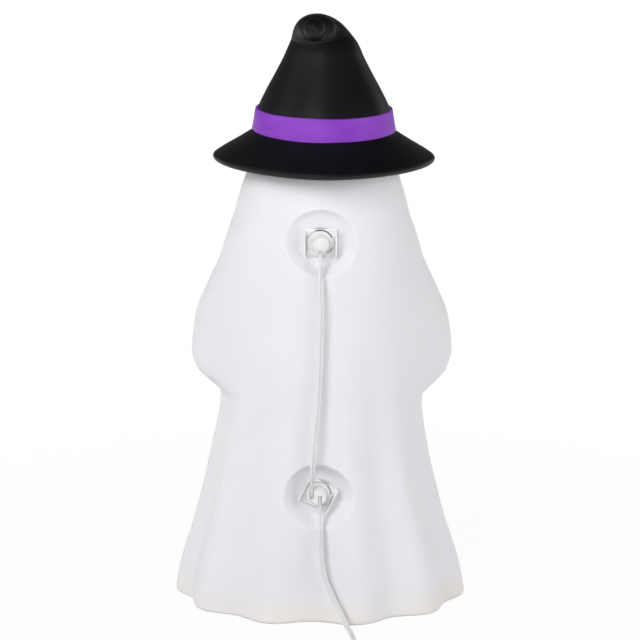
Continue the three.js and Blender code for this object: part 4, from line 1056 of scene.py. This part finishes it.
def makeCap(name):
    radius, height, cordFloor = lampParts["cap"]
    bottom = 3 * lampParts["seatGap"] + lampParts["plate"][2] + lampParts["flange"][1]
    top, half = bottom + height, lampParts["slotHalf"]
    edge = [(radius - inward, top - down) for inward, down in lampParts["capEdge"]]
    points, faces = turned([(0, bottom), (radius - 0.2, bottom), (radius, bottom + 0.2), *edge, (0, top)], 96)
    data = bpy.data.meshes.new("capBlank")
    data.from_pydata(points, [], faces)
    work = bmesh.new()
    work.from_mesh(data)
    bmesh.ops.remove_doubles(work, verts=work.verts, dist=1e-5)
    bmesh.ops.recalc_face_normals(work, faces=work.faces)
    work.to_mesh(data)
    work.free()
    blank = linked("capBlank", data)
    cutters = []
    for offset, side, wall in lampParts["cordSlots"][name]:
        y0, y1 = sorted((wall, side * (radius + 2)))
        levels = (bottom + cordFloor, top + 3)
        corners = [(offset + sx * half, y, z) for z in levels for sx, y in ((-1, y0), (1, y0), (1, y1), (-1, y1))]
        box = bpy.data.meshes.new("slotCutter")
        sides = [(0, 1, 5, 4), (1, 2, 6, 5), (2, 3, 7, 6), (3, 0, 4, 7)]
        box.from_pydata(corners, [], [(3, 2, 1, 0), (4, 5, 6, 7), *sides])
        cutters.append(linked("slotCutter", box))
        cut = blank.modifiers.new("cordSlot", "BOOLEAN")
        cut.operation = "DIFFERENCE"
        cut.solver = "EXACT"
        cut.object = cutters[-1]
    bpy.context.view_layer.update()
    result = blank.evaluated_get(bpy.context.evaluated_depsgraph_get()).to_mesh()
    shape = [tuple(v.co) for v in result.vertices], [tuple(p.vertices) for p in result.polygons]
    for thing in (blank, *cutters):
        bpy.data.objects.remove(thing)
    # the lower lamp's cap takes the darker copy of the cap plastic, as painted shade
    look = "shadedCap"
    if name == "upper":  # a low square pad on its face, and a ledge along two of its sides
        pad = prism(roundedBox(4.4, 4.5, 0.8, (-1.15, 0.1)), top - 0.5, top + 0.8)
        shape = joined(shape, pad, prism(lampParts["ledge"], top - 0.5, top + 0.6))
        look = "cap"
    softEdges(lampMesh(name, "EndCap", shape, look, "lamp", "cap_plastic", "end_cap", sharpFrom=30), 0.15)


def threaded(radius, low, high, wall, sides=56):
    # a thin shell with a rolled thread, as a helix in the radius
    depth, pitch, step = lampParts["thread"]
    turn = fullTurn(sides)
    steps = int((high - low) / step)
    levels = [(low + (high - low) * k / steps, 0) for k in range(steps + 1)]
    rings = []
    for z, inward in levels + [(z, wall) for z, _ in reversed(levels)]:
        fade = max(min(1.0, (z - low) / 1.2, (high - z) / 1.2), 0)
        r = radius - inward - depth * fade * (0.5 - 0.5 * np.cos(2 * math.pi * (z / pitch) - turn))
        rings.append(np.stack([r * np.cos(turn), r * np.sin(turn), np.full(sides, z)], 1))
    return loft(rings, closed=True)


def wireTube(route, radius, sides):
    route = np.array(route, float)
    along = unit(np.gradient(route, axis=0))
    side = unit(np.cross(along, (0, 1.0, 0)))
    up = np.cross(side, along)
    turn = fullTurn(sides)
    rings = [p + radius * (np.cos(turn)[:, None] * s + np.sin(turn)[:, None] * u) for p, s, u in zip(route, side, up)]
    return loft(rings, start=route[0], end=route[-1])


def makeSocket(name, twist):
    gap = lampParts["seatGap"]
    _, bore, _, boreFloor = lampParts["barrel"]
    contact, contactThick = lampParts["contact"]
    wall, shellTop, shellBottom = lampParts["shell"]
    top = boreFloor - gap
    low = top - contactThick
    tongue = roundedProfile([(0, top), (contact, top), (contact, (top + low) / 2), (contact / 2, low), (0, low)], 0.2)
    lampMesh(name, "CentreContact", turned(tongue, 32), "brass", "lamp", "brass", "centre_contact")
    shell = threaded(bore - gap, shellBottom, shellTop, wall)
    lampMesh(name, "ScrewShell", shell, "brass", "lamp", "brass", "screw_shell", twist, sharpFrom=60)


def makeBulb(name, twist):
    gap = lampParts["seatGap"]
    radius, baseWall, top, bottom = lampParts["base"]
    neck, wall, wallRoom = lampParts["neck"]
    tip = lampParts["barrel"][3] - 2 * gap - lampParts["contact"][1]
    foot = [(0, tip), (1.2, tip - 0.15), (1.9, tip - 0.8), (1.9, tip - 1.7), (4.2, top + 0.5), (4.2, top - 0.4),
            (0, top - 0.4)]
    foot = turned(roundedProfile(foot, 0.2), 32)
    lampMesh(name, "BulbFoot", foot, "solder", "bulb", "brass", "bulb_contact", sharpFrom=50)
    high = top - 1.6
    sleeve = threaded(radius, bottom, high, baseWall)
    shoulder = turned([(4.4, top), (5.1, top - 0.25), (radius - 0.1, top - 1.0), (radius, high - 0.1),
                       (radius - 0.3, high - 0.1), (radius - 0.45, top - 1.2), (4.4, top - 0.45)], 56)
    lampMesh(name, "BulbBase", joined(sleeve, shoulder), "brass", "bulb", "brass", "bulb_base", twist, sharpFrom=60)

    outline = np.array([[(r, 0, z)] for r, z in ((neck, bottom - 0.6), *lampParts["glass"])])
    outside = [(max(p[0], 0.0), p[2]) for p in alongRings(outline, 6)[:, 0]]
    inside = []
    for i, (r, z) in enumerate(outside):
        before, after = outside[max(i - 1, 0)], outside[min(i + 1, len(outside) - 1)]
        along = unit(np.subtract(after, before))
        inside.append((max(r + along[1] * wall, 0.0), z - along[0] * wall))
    end = lampParts["glass"][-1][1]
    inside = [p for p in inside if p[1] > end + wall and p[0] > 0.3]
    neckTop = top - 2
    profile = [(0, end), *reversed(outside), (neck, neckTop), (neck - wall, neckTop), *inside, (0, end + wall * 1.6)]
    lampMesh(name, "BulbGlass", turned(profile, 64), "glass", "bulb", "bulb_glass", "bulb_glass", sharpFrom=80)

    pressRadius = neck - wallRoom - gap
    press = roundedProfile([(0, neckTop - 0.6), (pressRadius, neckTop - 0.6), (pressRadius, neckTop - 2.6),
                            (1.6, neckTop - 6.6), (1.4, -26), (2.4, -28), (2.4, -29), (0, -29)], 0.3)
    turns, half, coilRadius, height, sag = lampParts["filament"]
    wire = [(-half - 0.1, 0, height - 0.1)]
    for s in np.arange(turns * 6 + 1) / (turns * 6):
        a = 2 * math.pi * turns * s
        z = height + sag * math.sin(math.pi * s) + coilRadius * math.sin(a)
        wire.append((2 * half * s - half, coilRadius * math.cos(a), z))
    wire.append((half + 0.1, 0, height - 0.1))
    leads = [wireTube([(side * x, y, z) for x, y, z in lampParts["leadWire"]], 0.28, 8) for side in (-1, 1)]
    points, faces = joined(turned(press, 24), *leads, wireTube(wire, 0.09, 5))
    wired = set()
    for index, face in enumerate(faces):
        x, y, z = np.mean([points[i] for i in face], 0)
        if z < -29.01 or math.hypot(x, y) > 2.5 and z < -26:
            wired.add(index)
    lampMesh(name, "FilamentMount", (points, faces), "glass wire", "bulb", "filament_wire", "filament_mount",
             sharpFrom=60, second=wired)


# cords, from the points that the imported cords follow, in metres

cord = {
    "width": 0.0054,
    "thickness": 0.0027,
    "strandRadius": 0.00062,
    "strandTwist": 0.9,  # from one step to the next
    "step": 0.0026,
}


def smoothRoute(points, spacing):
    # a centripetal curve through the points, in even steps
    p = np.array(points, float)
    p = np.vstack([2 * p[0] - p[1], p, 2 * p[-1] - p[-2]])
    dense = []
    for i in range(1, len(p) - 2):
        p0, p1, p2, p3 = p[i - 1], p[i], p[i + 1], p[i + 2]
        d0, d1, d2 = (np.linalg.norm(b - a) ** 0.5 for a, b in ((p0, p1), (p1, p2), (p2, p3)))
        m1 = ((p1 - p0) / d0 - (p2 - p0) / (d0 + d1) + (p2 - p1) / d1) * d1
        m2 = ((p2 - p1) / d1 - (p3 - p1) / (d1 + d2) + (p3 - p2) / d2) * d1
        for s in np.arange(24) / 24:
            dense.append((2 * s ** 3 - 3 * s ** 2 + 1) * p1 + (s ** 3 - 2 * s ** 2 + s) * m1
                         + (-2 * s ** 3 + 3 * s ** 2) * p2 + (s ** 3 - s ** 2) * m2)
    dense.append(p[-2])
    dense = np.array(dense)
    gone = np.concatenate([[0], np.cumsum(np.linalg.norm(np.diff(dense, axis=0), axis=1))])
    count = max(2, round(gone[-1] / spacing))
    at = np.linspace(0, gone[-1], count + 1)
    return np.stack([np.interp(at, gone, dense[:, k]) for k in range(3)], 1), gone[-1]


def twinSection():
    # two round cores joined by a thin web, as (wide, thin) in metres
    r = cord["thickness"] / 2
    off = cord["width"] / 2 - r
    right = [(off + r * math.cos(a), r * math.sin(a)) for a in np.radians(np.linspace(-150, 150, 15))]
    left = [(-x, -y) for x, y in right]
    return right + left


def makeCord(name, route, wideSides, replaces, **facts):
    along = unit(np.gradient(route, axis=0))
    wide = unit(wideSides - (wideSides * along).sum(1)[:, None] * along)
    frames = list(zip(route, wide, np.cross(along, wide)))
    section = twinSection()
    jacket = [[p + u * w + v * t for u, v in section] for p, w, t in frames]
    parts = [loft(jacket, start=route[0], end=route[-1])]
    offset = (cord["width"] - cord["thickness"]) / 2
    turn = fullTurn(8)
    across, out = np.cos(turn)[:, None], np.sin(turn)[:, None]
    for side in (-1, 1):
        rings = []
        for i, (p, w, t) in enumerate(frames):  # the strands twist along the core
            radius = cord["strandRadius"] * (1 + 0.16 * np.cos(2 * (turn - i * cord["strandTwist"])))
            rings.append(p + side * offset * w + radius[:, None] * (across * w + out * t))
        parts.append(loft(rings, start=rings[0].mean(0), end=rings[-1].mean(0)))
    points, faces = joined(*parts)
    piece = addMesh(name, points, faces, "jacket strand", "gown", "cord_jacket", replaces, sharpFrom=None,
                    second=range(len(parts[0][1]), len(faces)), size=1)


jumperPoints = [
    (-0.0005, 0.0763, 0.3832), (-0.0005, 0.0763, 0.3762), (-0.0006, 0.0805, 0.3668), (-0.0009, 0.0861, 0.3590),
    (-0.0012, 0.0899, 0.3479), (-0.0015, 0.0921, 0.3299), (-0.0015, 0.0937, 0.3031), (-0.0006, 0.0953, 0.2700),
    (0.0006, 0.0968, 0.2404), (0.0032, 0.0988, 0.2050), (0.0058, 0.1007, 0.1784), (0.0076, 0.0995, 0.1578),
    (0.0081, 0.0956, 0.1459), (0.0081, 0.0933, 0.1373), (0.0081, 0.0933, 0.1303),
]
leadPoints = [
    (0.0, 0.0933, 0.1327), (0.0, 0.0933, 0.1247), (-0.0003, 0.0955, 0.1140), (-0.0006, 0.1015, 0.1001),
    (-0.0008, 0.1053, 0.0840), (-0.0014, 0.1076, 0.0660), (-0.0055, 0.1101, 0.0480), (-0.0130, 0.1136, 0.0310),
    (-0.0205, 0.1187, 0.0165), (-0.0265, 0.1273, 0.0066), (-0.0305, 0.1391, 0.0033), (-0.0330, 0.1524, 0.0022),
    (-0.0344, 0.1721, 0.0020), (-0.0350, 0.1950, 0.0023), (-0.0353, 0.2179, 0.0033), (-0.0353, 0.2296, 0.0038),
    (-0.0353, 0.2373, 0.0038),
]
coil = {
    "centre": (0.002, 0.243),
    "outerRadius": 0.0373,
    "turnGap": 0.0011,
    "layerGap": 0.0006,
    "turns": 3.875,  # in each of the two layers
    "climbShare": 0.4,
    "height": 0.0038,
    "tail": 0.020,
}


def coilRoute():
    # in along the lower layer, up in a half turn, out along the upper one, then straight to the plug
    pitch = cord["thickness"] + coil["turnGap"]
    rise = cord["width"] + coil["layerGap"]
    spiral = coil["turns"] * 2 * math.pi
    total = 2 * spiral + math.pi
    inner = coil["outerRadius"] - pitch * (spiral + math.pi / 2) / (2 * math.pi)
    gone = np.linspace(0, total, round(total / (2 * math.pi) * 80) + 1)
    radius = inner + pitch * np.abs(gone - total / 2) / (2 * math.pi)
    share = coil["climbShare"]
    climb = rise * ease(spiral + (0.5 - share / 2) * math.pi, spiral + (0.5 + share / 2) * math.pi, gone)
    angle = math.pi - gone
    x = coil["centre"][0] + radius * np.cos(angle)
    y = coil["centre"][1] + radius * np.sin(angle)
    points = np.stack([x, y, coil["height"] + climb], 1)
    tail = points[-1] + np.outer(np.linspace(0.15, 1, 7) * coil["tail"], (1, 0, 0))
    return np.vstack([points, tail])


def turnedWide(count, stops):
    # the wide side's direction: out of the back, then across, then upright
    share = np.linspace(0, 1, count)
    wide = np.tile((0.0, 1.0, 0.0), (count, 1))
    for direction, low, high in stops:
        s = ease(low, high, share)[:, None]
        wide = wide * (1 - s) + np.array(direction) * s
    return wide


plug = {
    "size": (36, 24, 18.4),  # length, width, thickness
    "neck": 4.5,
    "blade": (17.5, 1.5, 1.6),  # length, thickness, cut corner
    "spacing": 12.7,
    "bladeWidth": {"Narrow": 6.35, "Wide": 7.9},
    "holeRadius": 1.6,
    "relief": 12,
    "ribs": (6, 15, 2.2),  # count, first one's place, spacing
}


def plugRing(x, halfWide, halfHigh, sides=48, power=0.45):
    turn = fullTurn(sides)
    c, s = np.cos(turn), np.sin(turn)
    y, z = (half * np.sign(v) * np.abs(v) ** power for half, v in ((halfWide, c), (halfHigh, s)))
    return np.stack([np.full(sides, x), y, z], 1)


def makePlug(tailEnd):
    start = np.array(tailEnd) / mm + (0.3, 0, 0)
    length, wide, high = plug["size"]
    w, h, neck = wide / 2, high / 2, plug["neck"]
    stations = [(x, neck + grow, neck + grow) for x, grow in ((0, -0.6), (0.7, 0), (4, 0.3), (6, 0.6))]
    stations.append((7.4, neck + 1.6, neck + 1.4))
    stations += [(x, w * wider, h * higher) for x, wider, higher in ((9, 0.72, 0.8), (11, 0.86, 0.9), (13, 0.94, 0.96))]
    count, first, spacing = plug["ribs"]
    for x in first + spacing * np.arange(count):
        stations += [(x - 0.7, w - 0.15, h - 0.1), (x, w - 0.75, h - 0.15), (x + 0.7, w - 0.15, h - 0.1)]
    stations += [(30, w, h), (length - 1.5, w, h), (length - 0.6, w - 0.35, h - 0.35)]
    stations += [(length, (w - 1.3) * s, (h - 1.3) * s) for s in (1, 0.8, 0.5)]
    points, faces = loft([plugRing(*s) + start for s in stations], start=start, end=start + (length, 0, 0))
    pieces = [addMesh("plugBody", points, faces, "plug", "gown", "plug_plastic", ["plug_body"], sharpFrom=50)]

    relief = []
    for k in range(13):  # ribbed sleeve that eases the cord into the plug
        s = k / 12
        rib = 0.28 * (1 if k % 2 else -1) * (0.3 < s < 0.98)
        ring = plugRing(plug["relief"] * (s - 1), 1.75 + 2.2 * s ** 1.3 + rib, 3.0 + 1.1 * s + rib, 32, 0.8)
        relief.append(ring + start + (-0.05, 0, 0))
    points, faces = loft(relief, start=relief[0].mean(0), end=relief[-1].mean(0))
    pieces.append(addMesh("plugSleeve", points, faces, "plug", "gown", "plug_plastic", sharpFrom=60))

    reach, thick, cut = plug["blade"]
    for (name, width), side in zip(plug["bladeWidth"].items(), (1, -1)):
        right = [(0, width / 2), (reach - cut, width / 2), (reach - 0.4, width / 2 - cut * 0.7),
                 (reach, width / 2 - cut * 1.3)]
        outline = [(x, -y) for x, y in right] + right[::-1]
        flat, faces = prism(outline, -thick / 2, thick / 2, [arc(plug["holeRadius"], 0, 345, 24, (reach - 5, 0))])
        spot = start + (length + 0.3, side * plug["spacing"] / 2, 0)
        blade = addMesh("plugBlade" + name, [spot + (x, z, y) for x, y, z in flat], faces, "brass", "gown", "brass",
                        ["plug_blade_" + name.lower()], sharpFrom=30)
        pieces.append(softEdges(blade, 0.2))
    return pieces


tie = {
    "strap": (0.6, 4),  # thickness, width
    "clear": 0.4,
    "knot": (3.1, 1.6, 1.15, 0.42),  # length, turns, half width, half thickness
    "turn": -20,
    # the strap's section, as shares of its width and thickness
    "section": ((-0.5, 0), (-0.45, 0.42), (-0.18, 0.5), (-0.1, 0.85), (0.1, 0.85), (0.18, 0.5), (0.45, 0.42),
                (0.5, 0), (0.45, -0.42), (0.18, -0.5), (0.1, -0.6), (-0.1, -0.6), (-0.18, -0.5), (-0.45, -0.42)),
    "end": ((-1, -1), (-0.3, -1.3), (0.3, -1.3), (1, -1), (1, 1), (0.3, 1.3), (-0.3, 1.3), (-1, 1)),
}


def makeTie():
    w, t = cord["width"] / 2 / mm, cord["thickness"] / 2 / mm
    pitch = (cord["thickness"] + coil["turnGap"]) / mm
    outerR = coil["outerRadius"] / mm
    thick, wide = tie["strap"]
    clear, half = tie["clear"], thick / 2
    inner = outerR - pitch * (coil["turns"] + 0.25) - t - clear
    outer = outerR + t + clear
    low = coil["height"] / mm - w - clear
    high = (coil["height"] + cord["width"] + coil["layerGap"]) / mm + w + clear
    # the strap's middle line around the turns, with rounded corners
    left, right, under, over = inner - half, outer + half, low - half, high + half
    box = [(left, under), (right, under), (right, over), (left, over)]
    line = np.array([(x, 0, z) for x, z in roundedProfile(box, 1.4, 5)])
    rings = []
    for i, p in enumerate(line):
        out = unit(np.cross(line[(i + 1) % len(line)] - line[i - 1], (0, 1, 0)))
        rings.append([p + np.array((0, u * wide, 0)) + out * v * thick for u, v in tie["section"]])
    knot = []
    anchor = np.array((outer + thick, 0, high - 2))
    reach, turns, halfWide, halfThick = tie["knot"]
    for s in np.arange(19) / 18:  # the two ends, twisted together
        a = 2 * math.pi * turns * s
        u = halfWide * np.array((0, math.cos(a), math.sin(a)))
        v = halfThick * np.array((0, -math.sin(a), math.cos(a)))
        knot.append([anchor + (s * reach, 0, -0.5 * s) + u * p + v * q for p, q in tie["end"]])
    ends = {"start": np.mean(knot[0], 0), "end": np.mean(knot[-1], 0)}
    points, faces = joined(loft(rings, closed=True), loft(knot, **ends))
    x, y = coil["centre"]
    spot = Matrix.Translation((x / mm, y / mm, 0)) @ Matrix.Rotation(math.radians(tie["turn"]), 4, "Z")
    return addMesh("coilTie", placed(points, spot), faces, "tie", "gown", "tie_white", ["coil_tie"], sharpFrom=50)


bpy.context.scene.view_settings.view_transform = "Standard"
makeCamera()
makeLights()
makeFloor()

jumperRoute, jumperLength = smoothRoute(jumperPoints, cord["step"])
jumperWide = turnedWide(len(jumperRoute), [((1, 0.25, 0), 0.04, 0.16), ((0, 1, 0), 0.86, 0.97)])
makeCord("jumperCord", jumperRoute, jumperWide, ["jumper_cord"],
         exit=jumperPoints[0], length=jumperLength, far_end="object", stiffness="medium", lay="hanging")

freeRoute, _ = smoothRoute(leadPoints, cord["step"])
freeWide = turnedWide(len(freeRoute), [((1, 0.2, 0), 0.03, 0.12), ((1, 0, 0), 0.3, 0.5), ((0, 0, 1), 0.76, 0.97)])
wound = coilRoute()
leadRoute = np.vstack([freeRoute, wound])
leadWide = np.vstack([freeWide, np.tile((0.0, 0.0, 1.0), (len(wound), 1))])
plugPieces = makePlug(wound[-1])
plugPieces.append(makeTie())
makeCord("leadCord", leadRoute, leadWide, ["lead_cord", "lead_coil"],
         exit=leadPoints[0], length=1.799, far_end="plug", stiffness="medium", lay="loose", with_pieces=plugPieces)
print("ghost: cords are laid")

makeGown()
print("ghost: gown is draped")
makeHat()
makeBand()
print("ghost: hat and band are on")
for lampName, lampTurn in lampParts["turn"].items():
    makePlate(lampName, lampTurn)
    makeBarrel(lampName, lampTurn)
    makeCap(lampName)
    makeSocket(lampName, lampTurn)
    makeBulb(lampName, lampTurn)
print("ghost: lamps are in their dishes")
